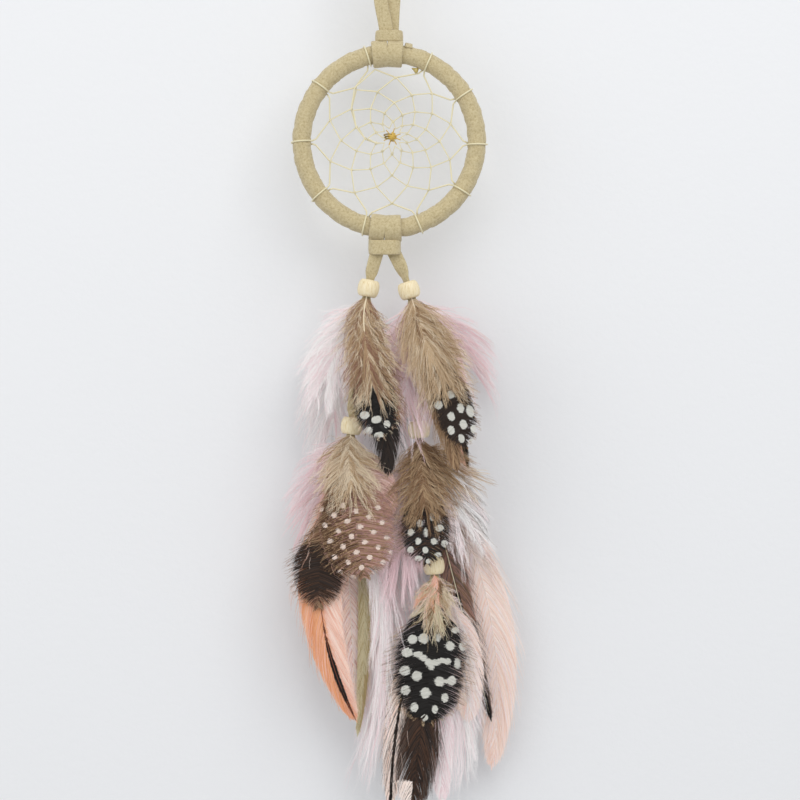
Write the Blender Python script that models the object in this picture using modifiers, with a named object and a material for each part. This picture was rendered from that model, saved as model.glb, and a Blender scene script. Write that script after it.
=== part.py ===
"""Dream catcher: a suede-wrapped hoop with a woven web, hung from a lace loop, and two beaded lace tails of feathers.

The origin is the underside of the loop's knot, where the nail bears. +X is to the right of someone facing the
front, -Y is the front and +Z is up. Sizes are in millimetres here and are turned into metres by MM.
"""

import math

import bmesh
import bpy
from mathutils import Matrix
from mathutils import Vector

MM = 0.001
GAP = 0.3  # kept between neighbouring solids

# The hoop stands in the XZ plane, with its centre this far below the hang point.
HOOP_Z = -80.0
BAND_R = 3.35  # section radius over the suede wrap
RING_R = 31.85  # hoop centre to the centre of that section
CORE_R = 2.0
WRAP_IN_R = 2.35
WRAP_SLOT = 12.0  # degrees of the section where the wrap's edges meet

# Suede lace, flat, 5 mm wide
LACE_W = 5.0
LACE_T = 1.2
LACE_ROUND = 1.1  # radius of the loop's two strands as plain round tubes
PINCH_W = 3.0  # lace width where it is squeezed in a bead
LACE_TURN = 1.6  # a lower stretch of lace turns about a point this far below its bead's centre
LEFT_Y = -0.8  # the left tail lies in front of the right one
RIGHT_Y = 0.8

# Knots of lace on the hoop
HITCH_CLEAR = 0.45
HITCH_R = 4.9

# Web thread
THREAD_R = 0.3
THREAD_Y = 0.45  # rounds lie in front of and behind the hoop plane in turn
ANCHORS = (105, 142, 181, 218, 254, 290, 326, 358, 392, 424)  # degrees anticlockwise from +X
ROUND_R = (27.9, 23.0, 18.0, 13.3, 9.5, 6.0, 3.4)
WEB_MIDDLE = (1.0, 1.5)
WEB_KNOT_R = 2.0

# Wooden beads
BEAD_R = 3.95
BEAD_H = 6.2
BORE_R = 2.5
BEAD_TRAVEL = 2.2  # lace stays pinched this far past each end of a bead

# Feathers as thin blades
VANE_T = 0.3
QUILL_W = 0.5
QUILL_IN = 1.0  # how far a quill reaches into its bead
SLOT_FIRST = 0.92  # from the lace's middle to the first quill, front and back
SLOT_PITCH = 0.44
ROWS = 12
STATIONS = (0, 2.5, 6, 10, 14, 18, 23, 28)  # distances down a feather where it spreads from its bead

# (end of the bare quill, widest point, bluntness of the tip), as shares of the length
KINDS = {
    "guinea": (0.08, 0.66, 2.6),
    "down": (0.06, 0.50, 1.8),
    "marabou": (0.05, 0.45, 1.5),
    "hackle": (0.10, 0.40, 1.1),
    "blade": (0.16, 0.60, 2.0),
    "saddle": (0.10, 0.55, 1.7),
}

# Depth layers of each tier: the first layer's distance from the middle plane, the pitch, and the length of
# feather over which it spreads from the bead to its layer. Upper tiers lie outside the lower ones.
TIERS = {
    "top": (12.0, 1.0, 28.0),
    "mid": (5.2, 0.8, 24.0),
    "low": (1.2, 0.85, 18.0),
}

# Each cluster: tier, lace depth, bead centre, bead tilt in degrees (positive leans its foot to the right), and
# feathers as (name, kind, layer, middle point, tip, width). Points are X and Z from the hoop centre. A negative
# layer is in front, counted outwards, and feathers of one side are listed from the lace outwards.
CLUSTERS = {
    "left_top": (
        "top", LEFT_Y, (-7.6, -53.6), -11,
        (
            ("brown_down", "down", -1, (-4.5, -88), (-0.5, -120.4), 12),
            ("guinea", "guinea", -3, (-7.0, -82), (-2.7, -107.6), 17),
            ("marabou_long", "marabou", 1, (-20, -92), (-23.4, -130.5), 24),
            ("marabou_short", "marabou", 3, (-20, -80), (-27, -104), 22),
        ),
    ),
    "right_top": (
        "top", RIGHT_Y, (7.2, -54.2), 17,
        (
            ("brown_blade", "blade", -2, (17, -90), (23.9, -119.6), 8),
            ("guinea", "guinea", -4, (18, -84), (27.9, -110.9), 17),
            ("khaki_down", "down", -5, (13, -76), (18.4, -94), 17),
            ("rooster_blade", "blade", 2, (19.5, -90), (28.2, -121.5), 6.5),
            ("mauve_marabou", "marabou", 4, (7.5, -82), (8.2, -106), 20),
            ("pink_marabou", "marabou", 5, (24, -75), (35.5, -97), 22),
        ),
    ),
    "left_low": (
        "mid", LEFT_Y, (-13.6, -103.6), -7,
        (
            ("orange_hackle", "hackle", -1, (-24.5, -160), (-11.8, -209.8), 10),
            ("dark_tipped", "guinea", -3, (-22, -137), (-26.5, -168.5), 18),
            ("pink_blade", "blade", -5, (-7, -119), (-1, -135), 10),
            ("guinea", "guinea", -7, (-12, -130), (-8.3, -158), 26),
            ("olive_slip", "blade", 1, (-10.5, -165), (-11.4, -216.4), 7),
            ("pale_saddle", "saddle", 3, (-14.5, -165), (-10.5, -208.5), 14),
            ("pink_marabou", "marabou", 5, (-22.5, -128), (-29.6, -149.5), 20),
            ("white_marabou", "marabou", 7, (-2, -172), (-8.9, -236), 16),
        ),
    ),
    "right_mid": (
        "mid", RIGHT_Y, (10.8, -105.0), 5,
        (
            ("pink_fluff", "marabou", -2, (22, -132), (31, -156.7), 20),
            ("brown_down", "down", -4, (22, -119), (33.5, -128), 14),
            ("guinea", "guinea", -6, (12.5, -131), (13.7, -153.1), 17),
            ("curved_blade", "blade", 2, (20.6, -150.5), (36.6, -203.3), 8),
            ("dark_fuzz", "down", 4, (3, -140), (-1.2, -170.9), 9),
            ("mauve_marabou", "marabou", 6, (4, -138), (1, -171), 16),
            ("peach_saddle", "saddle", 8, (34, -158), (37.3, -229.5), 14),
        ),
    ),
    "right_low": (
        "low", RIGHT_Y, (16.2, -154.5), 4,
        (
            ("striped_saddle", "saddle", -1, (4, -205), (0.2, -241.5), 9),
            ("dark_hackle", "hackle", -2, (12.5, -205), (7.5, -243), 13),
            ("guinea", "guinea", -3, (15, -184), (14, -211.3), 25),
            ("orange_tuft", "down", -4, (13.5, -166), (11.1, -171), 7),
            ("pink_saddle", "saddle", 1, (17, -205), (18.4, -240.5), 12),
            ("peach_saddle", "saddle", 2, (25, -183), (28.6, -211.3), 14),
            ("white_marabou", "marabou", 3, (24, -200), (24.9, -238), 14),
        ),
    ),
}
LOW_TIER_MIDDLE = RIGHT_Y  # the lowest cluster spreads round its own lace, inside the others

# Where each tail turns as it leaves the lower knot: X and Z from the hoop centre
TAIL_TOP = {"left": (-3.9, -39.5), "right": (0.8, -39.5)}

# The loop's strands, from the knot to the hoop: (x, y, z) from the hang point
STRANDS = {
    "left": ((-2.85, 0, -0.2), (-3.1, 0, -7), (-3.5, -0.2, -16), (-3.2, -0.6, -28), (-1.2, -1.2, -39.45)),
    "right": ((2.85, 0, -0.2), (2.95, 0, -7), (2.5, 0.2, -16), (1.6, 0.6, -28), (1.0, 1.2, -39.45)),
}

parts = bpy.data.collections.new("dream_catcher")
cutters = bpy.data.collections.new("cutters")
for old in list(bpy.data.objects):
    bpy.data.objects.remove(old, do_unlink=True)
for group in (parts, cutters):
    bpy.context.scene.collection.children.link(group)
cutters.hide_render = True


def colour(hex_code):
    """A linear colour from an sRGB hex code."""
    values = [int(hex_code[i : i + 2], 16) / 255 for i in (0, 2, 4)]
    return [v / 12.92 if v <= 0.04045 else ((v + 0.055) / 1.055) ** 2.4 for v in values] + [1]


def material(name, hex_code, roughness, metallic=0.0):
    made = bpy.data.materials.new(name)
    made.use_nodes = True
    shader = made.node_tree.nodes["Principled BSDF"]
    shader.inputs["Base Color"].default_value = colour(hex_code)
    shader.inputs["Roughness"].default_value = roughness
    shader.inputs["Metallic"].default_value = metallic
    return made


SUEDE = ("suede", "BFAE84", 0.95)
RATTAN = ("rattan", "C8A86A", 0.6)
THREAD = ("waxed_thread", "E9E2C4", 0.5)
GOLD_THREAD = ("gold_thread", "C9A94E", 0.5)
GLUE = ("glue", "C8B878", 0.25)
WOOD = ("bead_wood", "E6D2A6", 0.55)
FEATHER = ("feather", "C9B4A6", 0.8)


def place(obj, look, group=parts):
    """Links a part in its collection, with a material of its own and smooth shading on its round faces."""
    group.objects.link(obj)
    if group is cutters:
        obj.hide_render = True
        obj.display_type = "WIRE"
        return obj
    name, hex_code, roughness = look
    obj.data.materials.append(material(f"{obj.name}_{name}", hex_code, roughness))
    if obj.type == "MESH":
        obj.data.shade_smooth()
        obj.data.set_sharp_from_angle(angle=math.radians(35))
    return obj


def mesh_object(name, bm, look=None, group=parts, matrix=None):
    mesh = bpy.data.meshes.new(name)
    bm.to_mesh(mesh)
    bm.free()
    obj = bpy.data.objects.new(name, mesh)
    if matrix is not None:
        obj.matrix_world = matrix
    return place(obj, look, group)


def hoop_point(x, z, y=0.0):
    """A row point in metres from X and Z measured from the hoop centre."""
    return Vector((x, y, z + HOOP_Z)) * MM


def smooth_curve(points, steps=24):
    """A fine chain of points along a smooth curve through the given points, and how far along each one is."""
    knots = [Vector(p) for p in points]
    spans = [(b - a).length for a, b in zip(knots, knots[1:])]
    slopes = [(b - a) / span for a, b, span in zip(knots, knots[1:], spans)]
    tangents = [slopes[0]]
    for n in range(1, len(slopes)):
        tangents.append((slopes[n - 1] * spans[n] + slopes[n] * spans[n - 1]) / (spans[n - 1] + spans[n]))
    tangents.append(2 * slopes[-1] - tangents[-1])
    fine = [knots[0]]
    for n, span in enumerate(spans):
        for step in range(1, steps + 1):
            t = step / steps
            ends = knots[n] * (1 - 3 * t**2 + 2 * t**3) + knots[n + 1] * (3 * t**2 - 2 * t**3)
            bend = tangents[n] * (t - 2 * t**2 + t**3) + tangents[n + 1] * (t**3 - t**2)
            fine.append(ends + bend * span)
    lengths = [0.0]
    for a, b in zip(fine, fine[1:]):
        lengths.append(lengths[-1] + (b - a).length)
    return fine, lengths


def points_at(curve, distances):
    """The points at rising distances along a smooth curve."""
    fine, lengths = curve
    found = []
    index = 0
    for wanted in distances:
        while index < len(fine) - 2 and lengths[index + 1] < wanted:
            index += 1
        share = (wanted - lengths[index]) / (lengths[index + 1] - lengths[index])
        found.append(fine[index].lerp(fine[index + 1], min(share, 1)))
    return found


def smooth_path(points, count):
    """count points evenly spaced along a smooth curve through the given points."""
    curve = smooth_curve(points)
    return points_at(curve, [curve[1][-1] * number / (count - 1) for number in range(count)])


def smoothstep(value):
    value = min(max(value, 0), 1)
    return value * value * (3 - 2 * value)


def wire(name, points, radius, look):
    """A round wire along points given in millimetres from the hang point."""
    curve = bpy.data.curves.new(name, "CURVE")
    curve.dimensions = "3D"
    curve.bevel_depth = radius * MM
    curve.bevel_resolution = 2
    curve.use_fill_caps = True
    spline = curve.splines.new("POLY")
    spline.points.add(len(points) - 1)
    for spot, point in zip(spline.points, points):
        spot.co = (*(Vector(point) * MM), 1)
    return place(bpy.data.objects.new(name, curve), look)


def boolean(obj, other, operation):
    modifier = obj.modifiers.new(other.name, "BOOLEAN")
    modifier.operation = operation
    modifier.object = other
    modifier.solver = "EXACT"


def block(name, low, high, bevel, look=None, group=parts, segments=2, matrix=None):
    """A box between two corners in millimetres, with rounded edges."""
    bm = bmesh.new()
    bmesh.ops.create_cube(bm, size=1)
    centre = (Vector(low) + Vector(high)) / 2
    size = Vector(high) - Vector(low)
    for vertex in bm.verts:
        vertex.co = Vector([(centre[i] + vertex.co[i] * size[i]) * MM for i in range(3)])
    obj = mesh_object(name, bm, look, group, matrix)
    if bevel:
        modifier = obj.modifiers.new("edges", "BEVEL")
        modifier.width = bevel * MM
        modifier.segments = segments
        modifier.limit_method = "NONE"
    return obj


def hoop_ring(name, radius, look=None, group=parts, major=48, minor=10):
    """A plain ring of round section on the hoop's line."""
    bpy.ops.mesh.primitive_torus_add(
        major_segments=major, minor_segments=minor, major_radius=RING_R * MM, minor_radius=radius * MM
    )
    obj = bpy.context.object
    obj.name = obj.data.name = name
    for owner in list(obj.users_collection):
        owner.objects.unlink(obj)
    obj.data.transform(Matrix.Translation((0, 0, HOOP_Z * MM)) @ Matrix.Rotation(math.radians(90), 4, "X"))
    return place(obj, look, group)


def turned(name, outline, steps, look, matrix):
    """A solid turned about its own Z from a closed outline of (radius, height) that runs down its outer side."""
    bm = bmesh.new()
    ring = [bm.verts.new((r * MM, 0, z * MM)) for r, z in outline]
    for a, b in zip(ring, ring[1:] + ring[:1]):
        bm.edges.new((a, b))
    obj = mesh_object(name, bm, look, matrix=matrix)
    screw = obj.modifiers.new("turn", "SCREW")
    screw.steps = screw.render_steps = steps
    screw.use_merge_vertices = True
    screw.merge_threshold = 0.00001
    return obj


def make_knot():
    """The loop's overhand knot, with the lace ends that stand out of its top. Between the strands, a flat
    underside bears on the nail."""
    knot = block("loop_knot", (-4.8, -3.2, 0.9), (4.8, 3.2, 7.2), 1.5, SUEDE, segments=3)
    boolean(knot, block("knot_saddle", (-1.15, -2.6, 0), (1.15, 2.6, 3), 0, group=cutters), "UNION")
    for side, lean in ((-1, -24), (1, 17)):
        turn = Matrix.Translation((side * 1.6 * MM, side * 0.9 * MM, 4 * MM)) @ Matrix.Rotation(
            math.radians(lean), 4, "Y"
        )
        low, high = (-LACE_W / 2, -LACE_T / 2, 0), (LACE_W / 2, LACE_T / 2, 13)
        boolean(knot, block(f"lace_end_{side}", low, high, 0, group=cutters, matrix=turn), "UNION")


def make_strands():
    """The two sides of the hanging loop, as plain round cords."""
    for side, points in STRANDS.items():
        wire(f"loop_lace_{side}", smooth_path(points, 14), LACE_ROUND, SUEDE)


def make_hitch(name, top, bar_low, bar_high, wraps):
    """A lark's head knot of lace: two turns round the band, and a bar across the front of the ends it holds."""
    body = block(name, bar_low, bar_high, 0.5, SUEDE)
    for number, (low, high) in enumerate(wraps):
        middle = (low + high) / 2
        lean = math.asin(middle / RING_R)
        spot = Vector((middle, 0, HOOP_Z + top * RING_R * math.cos(lean))) * MM
        turn = Matrix.Translation(spot) @ Matrix.Rotation(top * lean + math.radians(90), 4, "Y")
        bm = bmesh.new()
        bmesh.ops.create_cone(
            bm, cap_ends=True, segments=24, radius1=HITCH_R * MM, radius2=HITCH_R * MM, depth=(high - low) * MM
        )
        boolean(body, mesh_object(f"{name}_turn_{number}", bm, group=cutters, matrix=turn), "UNION")
    return body


def make_hitches():
    upper = make_hitch(
        "hoop_hitch", 1, (-4.4, -2.9, HOOP_Z + 35.2), (4.3, -1.6, HOOP_Z + 40.1), ((-6.3, -0.85), (-0.45, 4.9))
    )
    held = block(
        "hoop_hitch_ends", (-3.5, -1.9, HOOP_Z + 34.5), (3.5, 1.3, HOOP_Z + 40.0), 0, group=cutters
    )
    boolean(upper, held, "UNION")
    lower = make_hitch(
        "tail_hitch", -1, (-6.7, -2.9, HOOP_Z - 41.6), (3.6, -1.6, HOOP_Z - 35.2), ((-7.1, -1.85), (-1.45, 4.4))
    )
    clear = hoop_ring("hitch_bore", BAND_R + HITCH_CLEAR, group=cutters, major=72, minor=16)
    for hitch in (upper, lower):
        boolean(hitch, clear, "DIFFERENCE")


def make_hoop():
    """The rattan ring and the suede wound round it, whose edges meet along the back of the inner side."""
    hoop_ring("hoop_core", CORE_R, RATTAN, major=36, minor=8)
    half = math.radians(WRAP_SLOT / 2)
    meet = math.radians(150)
    turns = [meet - half - (2 * math.pi - 2 * half) * n / 10 for n in range(11)]
    outer = [(RING_R + BAND_R * math.cos(a), BAND_R * math.sin(a)) for a in turns]
    inner = [(RING_R + WRAP_IN_R * math.cos(a), WRAP_IN_R * math.sin(a)) for a in reversed(turns)]
    stand = Matrix.Translation((0, 0, HOOP_Z * MM)) @ Matrix.Rotation(math.radians(90), 4, "X")
    turned("hoop_wrap", outer + inner, 48, SUEDE, stand)
    # The tucked end of the wrap lies flat on the outside of the band, beside the upper knot.
    lean = math.radians(78.5)
    out = Vector((math.cos(lean), 0, math.sin(lean)))
    spot = (Vector((0, 0, HOOP_Z)) + out * (RING_R + BAND_R + GAP)) * MM
    turn = Matrix.Translation(spot) @ Matrix.Rotation(math.radians(90) - lean, 4, "Y")
    block("wrap_end", (-1.1, -1.9, 0), (1.1, 1.9, 0.9), 0.25, SUEDE, segments=1, matrix=turn)
    # A dab of dried glue on the inner side of the band
    bm = bmesh.new()
    bmesh.ops.create_uvsphere(bm, u_segments=12, v_segments=8, radius=0.85 * MM)
    lean = math.radians(69.5)
    dab = (RING_R - BAND_R - GAP - 0.85) * Vector((math.cos(lean), 0, math.sin(lean)))
    mesh_object("glue_dab", bm, GLUE, matrix=Matrix.Translation(hoop_point(dab.x, dab.z)))


def web_point(step, radius, y):
    """A web point: step counts anchors from 0 and may lie between two, radius is from the hoop centre."""
    whole = math.floor(step)
    count = len(ANCHORS)
    start = ANCHORS[whole % count] + 360 * (whole // count)
    end = ANCHORS[(whole + 1) % count] + 360 * ((whole + 1) // count)
    angle = math.radians(start + (end - start) * (step - whole))
    shift = max(0, 1 - radius / ROUND_R[0])
    x = radius * math.cos(angle) + WEB_MIDDLE[0] * shift
    z = radius * math.sin(angle) + WEB_MIDDLE[1] * shift
    return (x, y, z + HOOP_Z)


def web_path():
    """The thread's whole way: a turn round the band at each anchor, then round after round of bights inwards."""
    path = []
    loop_r = (BAND_R + GAP + THREAD_R) / math.cos(math.radians(30)) + 0.03
    count = len(ANCHORS)
    near = 0.03  # a leg's foot beside its anchor, as a share of the step between anchors
    for step in range(count):
        if step:
            path.append(web_point(step - 2 * near, ROUND_R[0] - 1.1, THREAD_Y))
        for turn in range(7):
            around = math.radians(180 + 60 * turn)
            radius = RING_R + loop_r * math.cos(around)
            path.append(web_point(step + near * (turn / 3 - 1), radius, loop_r * math.sin(around)))
        path.append(web_point(step + 2 * near, ROUND_R[0] - 1.1, THREAD_Y))
        path.append(web_point(step + 0.5, ROUND_R[1], THREAD_Y))
    path.append(web_point(count - 3 * near, ROUND_R[0] - 1.5, -THREAD_Y))
    for level in range(1, len(ROUND_R) - 1):
        y = THREAD_Y if level % 2 == 0 else -THREAD_Y
        for number in range(count):
            step = count + level / 2 + number
            path.append(web_point(step, ROUND_R[level], y))
            path.append(web_point(step + 0.5, ROUND_R[level + 1], y))
        if level < len(ROUND_R) - 2:
            path.append(web_point(count + level / 2, ROUND_R[level] - 0.95, -y))
    middle = Vector((WEB_MIDDLE[0], path[-1][1], WEB_MIDDLE[1] + HOOP_Z))
    inward = (Vector(path[-1]) - middle).normalized()
    path.append(middle + inward * (WEB_KNOT_R + GAP + 0.1))
    return path


def make_web():
    wire("web_thread", web_path(), THREAD_R, THREAD)
    bm = bmesh.new()
    bmesh.ops.create_uvsphere(bm, u_segments=14, v_segments=8, radius=WEB_KNOT_R * MM)
    bmesh.ops.scale(bm, vec=(1, 0.7, 0.9), verts=bm.verts)
    mesh_object("web_knot", bm, GOLD_THREAD, matrix=Matrix.Translation(hoop_point(*WEB_MIDDLE)))


def strip(name, centre, widths, y, round_start):
    """A flat piece of lace in the XZ plane, along centre points, with a half-round first end if asked."""
    left, right = [], []
    for number, point in enumerate(centre):
        before = centre[max(number - 1, 0)]
        after = centre[min(number + 1, len(centre) - 1)]
        along = (after - before).normalized()
        across = Vector((along.z, 0, -along.x))
        left.append(point + across * widths[number] / 2)
        right.append(point - across * widths[number] / 2)
    outline = left + right[::-1]
    if round_start:
        along = (centre[1] - centre[0]).normalized()
        across = Vector((along.z, 0, -along.x))
        radius = widths[0] / 2
        arc = [math.radians(180 * n / 8) for n in range(1, 8)]
        outline += [centre[0] - radius * (across * math.cos(a) + along * math.sin(a)) for a in arc]
    curve = bpy.data.curves.new(name, "CURVE")
    curve.dimensions = "2D"
    curve.fill_mode = "BOTH"
    curve.extrude = LACE_T / 2 * MM
    spline = curve.splines.new("POLY")
    spline.points.add(len(outline) - 1)
    for spot, point in zip(spline.points, outline):
        spot.co = (point.x * MM, (point.z + HOOP_Z) * MM, 0, 1)
    spline.use_cyclic_u = True
    obj = bpy.data.objects.new(name, curve)
    obj.matrix_world = Matrix.Translation((0, y * MM, 0)) @ Matrix.Rotation(math.radians(90), 4, "X")
    return place(obj, SUEDE)


def bead_axis(cluster):
    """The bead's centre and the direction in which the lace runs down through it."""
    _, _, (x, z), tilt, _ = CLUSTERS[cluster]
    lean = math.radians(tilt)
    return Vector((x, 0, z)), Vector((math.sin(lean), 0, -math.cos(lean)))


def stretch(name, side, y, above, below):
    """The lace from one bead, or from the lower knot if there is none above, to the next bead."""
    centre, axis = bead_axis(below)
    entry = centre - axis * (BEAD_H / 2 + BEAD_TRAVEL)
    last = below in ("left_low", "right_low")
    end = centre + axis * (BEAD_H / 2 + 1.5 if last else -0.25)
    if above is None:
        x, z = TAIL_TOP[side]
        start = Vector((x, 0, z))
        points = smooth_path([start, start.lerp(entry, 0.5), entry], 6)
        widths = [LACE_W] * 5 + [PINCH_W]
    else:
        top, fall = bead_axis(above)
        start = top + fall * LACE_TURN
        leave = top + fall * (BEAD_H / 2 + BEAD_TRAVEL)
        run = smooth_path([leave, leave.lerp(entry, 0.5) + (fall - axis) * 1.5, entry], 9)
        points = [start] + run
        widths = [PINCH_W, PINCH_W] + [LACE_W] * 7 + [PINCH_W]
    points.append(end)
    widths.append(PINCH_W)
    strip(name, points, widths, y, round_start=True)


def make_laces():
    stretch("left_lace_upper", "left", LEFT_Y, None, "left_top")
    stretch("left_lace_lower", "left", LEFT_Y, "left_top", "left_low")
    stretch("right_lace_upper", "right", RIGHT_Y, None, "right_top")
    stretch("right_lace_middle", "right", RIGHT_Y, "right_top", "right_mid")
    stretch("right_lace_lower", "right", RIGHT_Y, "right_mid", "right_low")


def make_bead(cluster):
    """A barrel-shaped wooden bead on the lace."""
    y = CLUSTERS[cluster][1]
    tilt = CLUSTERS[cluster][3]
    centre, _ = bead_axis(cluster)
    half = BEAD_H / 2
    outline = [
        (BORE_R, half),
        (BEAD_R - 0.75, half),
        (BEAD_R - 0.15, half * 0.55),
        (BEAD_R, 0),
        (BEAD_R - 0.15, -half * 0.55),
        (BEAD_R - 0.75, -half),
        (BORE_R, -half),
    ]
    turn = Matrix.Translation(hoop_point(centre.x, centre.z, y)) @ Matrix.Rotation(math.radians(-tilt), 4, "Y")
    turned(f"{cluster}_bead", outline, 20, WOOD, turn)


def vane_half_width(kind, share, width):
    """Half the blade's width at a share of its length: bare quill, swelling vane and rounded tip."""
    quill, widest, blunt = KINDS[kind]
    swell = smoothstep((share - quill) / (widest - quill))
    taper = 1.0
    if share > widest:
        taper = max(0, 1 - ((share - widest) / (1 - widest)) ** blunt) ** 0.5
    return max(QUILL_W / 2, width / 2 * swell * taper)


def make_feather(cluster, order, name, kind, layer, middle, tip, width):
    """One feather: a thin blade from inside its bead's mouth to its tip, in a depth layer of its own."""
    tier, lace_y, _, _, _ = CLUSTERS[cluster]
    first, pitch, spread = TIERS[tier]
    centre, axis = bead_axis(cluster)
    mouth = centre + axis * BEAD_H / 2
    side = 1 if layer > 0 else -1
    slot_y = lace_y + side * (SLOT_FIRST + SLOT_PITCH * order)
    level = (LOW_TIER_MIDDLE if tier == "low" else 0) + side * (first + pitch * (abs(layer) - 1))
    curve = smooth_curve([mouth, mouth + axis * 4, Vector((middle[0], 0, middle[1])), Vector((tip[0], 0, tip[1]))])
    length = curve[1][-1]
    # Every feather has rows at the same first distances, so that neighbours spread apart alike.
    rows = [d for d in STATIONS if d < length - 3]
    rest = max(3, ROWS - len(rows))
    rows += [rows[-1] + (length - rows[-1]) * (n + 1) / rest for n in range(rest)]
    run = [mouth - axis * QUILL_IN] + points_at(curve, rows)
    rows = [0] + rows
    last = len(rows) - 1

    bm = bmesh.new()
    bmesh.ops.create_grid(bm, x_segments=2, y_segments=last, size=0.5)
    for vertex in bm.verts:
        row = round((vertex.co.y + 0.5) * last)
        along = (run[min(row + 1, last)] - run[max(row - 1, 0)]).normalized()
        across = Vector((-along.z, 0, along.x))
        half = vane_half_width(kind, rows[row] / length, width) * 2 * vertex.co.x
        spot = run[row] + across * half
        out = (spot - mouth).length if row > 1 else 0
        spot.y = slot_y + (level - slot_y) * smoothstep(out / spread)
        vertex.co = (spot + Vector((0, 0, HOOP_Z))) * MM
    obj = mesh_object(f"{cluster}_{name}", bm, FEATHER)
    thick = obj.modifiers.new("thickness", "SOLIDIFY")
    thick.thickness = VANE_T * MM
    thick.offset = 0
    return obj


def make_clusters():
    for cluster, (_, _, _, _, feathers) in CLUSTERS.items():
        make_bead(cluster)
        placed = {1: 0, -1: 0}
        for feather in feathers:
            side = 1 if feather[2] > 0 else -1
            make_feather(cluster, placed[side], *feather)
            placed[side] += 1


def pivot(name, point, holder, pieces):
    """An empty on a joint's axis, on its holder's empty, which carries the pieces that move about it."""
    empty = bpy.data.objects.new(name, None)
    empty.empty_display_size = 4 * MM
    empty.location = Vector(point) * MM
    parts.objects.link(empty)
    bpy.context.view_layer.update()
    if holder:
        pieces = [*pieces, name]
    for piece in pieces:
        carried = bpy.data.objects[piece]
        carrier = empty if piece != name else bpy.data.objects[holder]
        carried.parent = carrier
        carried.matrix_parent_inverse = carrier.matrix_world.inverted()


def on_bead(cluster, distance):
    """A point on a bead's axis, this far below the bead's centre."""
    centre, axis = bead_axis(cluster)
    spot = centre + axis * distance
    return (spot.x, CLUSTERS[cluster][1], spot.z + HOOP_Z)


def make_pivots():
    """The joints: each empty stands where its pieces turn or, for a bead, where they slide along the lace."""
    pivot("loop_sway", (0, 0, -1.5), None, ["loop_lace_left", "loop_lace_right"])
    pivot("loop_twist", (0, 0, HOOP_Z + 40.3), "loop_sway", ["hoop_hitch"])
    hoop = ["hoop_core", "hoop_wrap", "wrap_end", "glue_dab", "web_thread", "web_knot"]
    pivot("hoop_nod", (0, 0, HOOP_Z + RING_R), "loop_twist", hoop)
    pivot("tail_swing", (0, 0, HOOP_Z - RING_R), "hoop_nod", ["tail_hitch"])
    for side, y in (("left", LEFT_Y), ("right", RIGHT_Y)):
        x, z = TAIL_TOP[side]
        pivot(f"{side}_tail_sway", (x, y, z + HOOP_Z), "tail_swing", [f"{side}_lace_upper"])
    pivot("left_lower_sway", on_bead("left_top", LACE_TURN), "left_tail_sway", ["left_lace_lower"])
    pivot("right_middle_sway", on_bead("right_top", LACE_TURN), "right_tail_sway", ["right_lace_middle"])
    pivot("right_lower_sway", on_bead("right_mid", LACE_TURN), "right_middle_sway", ["right_lace_lower"])
    held_by = {
        "left_top": "left_tail_sway",
        "left_low": "left_lower_sway",
        "right_top": "right_tail_sway",
        "right_mid": "right_middle_sway",
        "right_low": "right_lower_sway",
    }
    for cluster, (_, _, _, _, feathers) in CLUSTERS.items():
        pivot(f"{cluster}_bead_slide", on_bead(cluster, 0), held_by[cluster], [f"{cluster}_bead"])
        for name, *_ in feathers:
            feather = f"{cluster}_{name}"
            pivot(f"{feather}_sway", on_bead(cluster, BEAD_H / 2), f"{cluster}_bead_slide", [feather])


make_knot()
make_strands()
make_hitches()
make_hoop()
make_web()
make_laces()
make_clusters()
make_pivots()
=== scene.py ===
import math

import bmesh
import bpy
import numpy as np
from mathutils import Matrix, Vector


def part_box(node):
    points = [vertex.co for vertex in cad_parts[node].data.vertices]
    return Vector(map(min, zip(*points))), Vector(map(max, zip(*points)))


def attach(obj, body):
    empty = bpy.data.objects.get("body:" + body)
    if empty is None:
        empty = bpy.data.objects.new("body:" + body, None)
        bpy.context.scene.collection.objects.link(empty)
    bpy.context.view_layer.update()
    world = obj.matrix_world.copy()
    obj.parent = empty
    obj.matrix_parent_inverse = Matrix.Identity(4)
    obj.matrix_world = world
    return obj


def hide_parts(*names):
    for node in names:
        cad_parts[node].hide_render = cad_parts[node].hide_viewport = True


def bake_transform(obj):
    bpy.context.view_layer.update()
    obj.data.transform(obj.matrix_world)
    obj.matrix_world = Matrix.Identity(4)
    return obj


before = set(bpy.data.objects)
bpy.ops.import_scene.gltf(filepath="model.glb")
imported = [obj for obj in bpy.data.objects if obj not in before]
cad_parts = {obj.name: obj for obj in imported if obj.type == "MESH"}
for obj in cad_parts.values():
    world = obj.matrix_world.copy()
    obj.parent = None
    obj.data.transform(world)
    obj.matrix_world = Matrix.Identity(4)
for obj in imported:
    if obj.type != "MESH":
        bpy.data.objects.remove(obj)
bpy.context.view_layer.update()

MM = 0.001
hoop_low, hoop_high = (Vector(corner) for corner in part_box("hoop_wrap"))
hoop_centre = Vector((0, 0, (hoop_low.z + hoop_high.z) / 2))

# Camera: level, straight at the front, as someone stands before a thing hung on a wall. Its view is 291 mm
# across and cuts off the loop's knot above and the longest feather tips below.
VIEW_WIDTH = 0.291
VIEW_MIDDLE = (0.0039, -0.0942)  # right of the hoop's centre, and above it
CAMERA_BACK = 0.9
SENSOR = 36


def in_scene(name, data):
    """A new object with the given data, linked to the scene."""
    made = bpy.data.objects.new(name, data)
    bpy.context.scene.collection.objects.link(made)
    return made


camera = in_scene("camera", bpy.data.cameras.new("camera"))
camera.location = hoop_centre + Vector((VIEW_MIDDLE[0], -CAMERA_BACK, VIEW_MIDDLE[1]))
camera.rotation_euler = (math.radians(90), 0, 0)
camera.data.sensor_width = SENSOR
camera.data.lens = SENSOR * CAMERA_BACK / VIEW_WIDTH
camera.data.dof.use_dof = False
bpy.context.scene.camera = camera
bpy.context.scene.view_settings.view_transform = "Standard"


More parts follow.
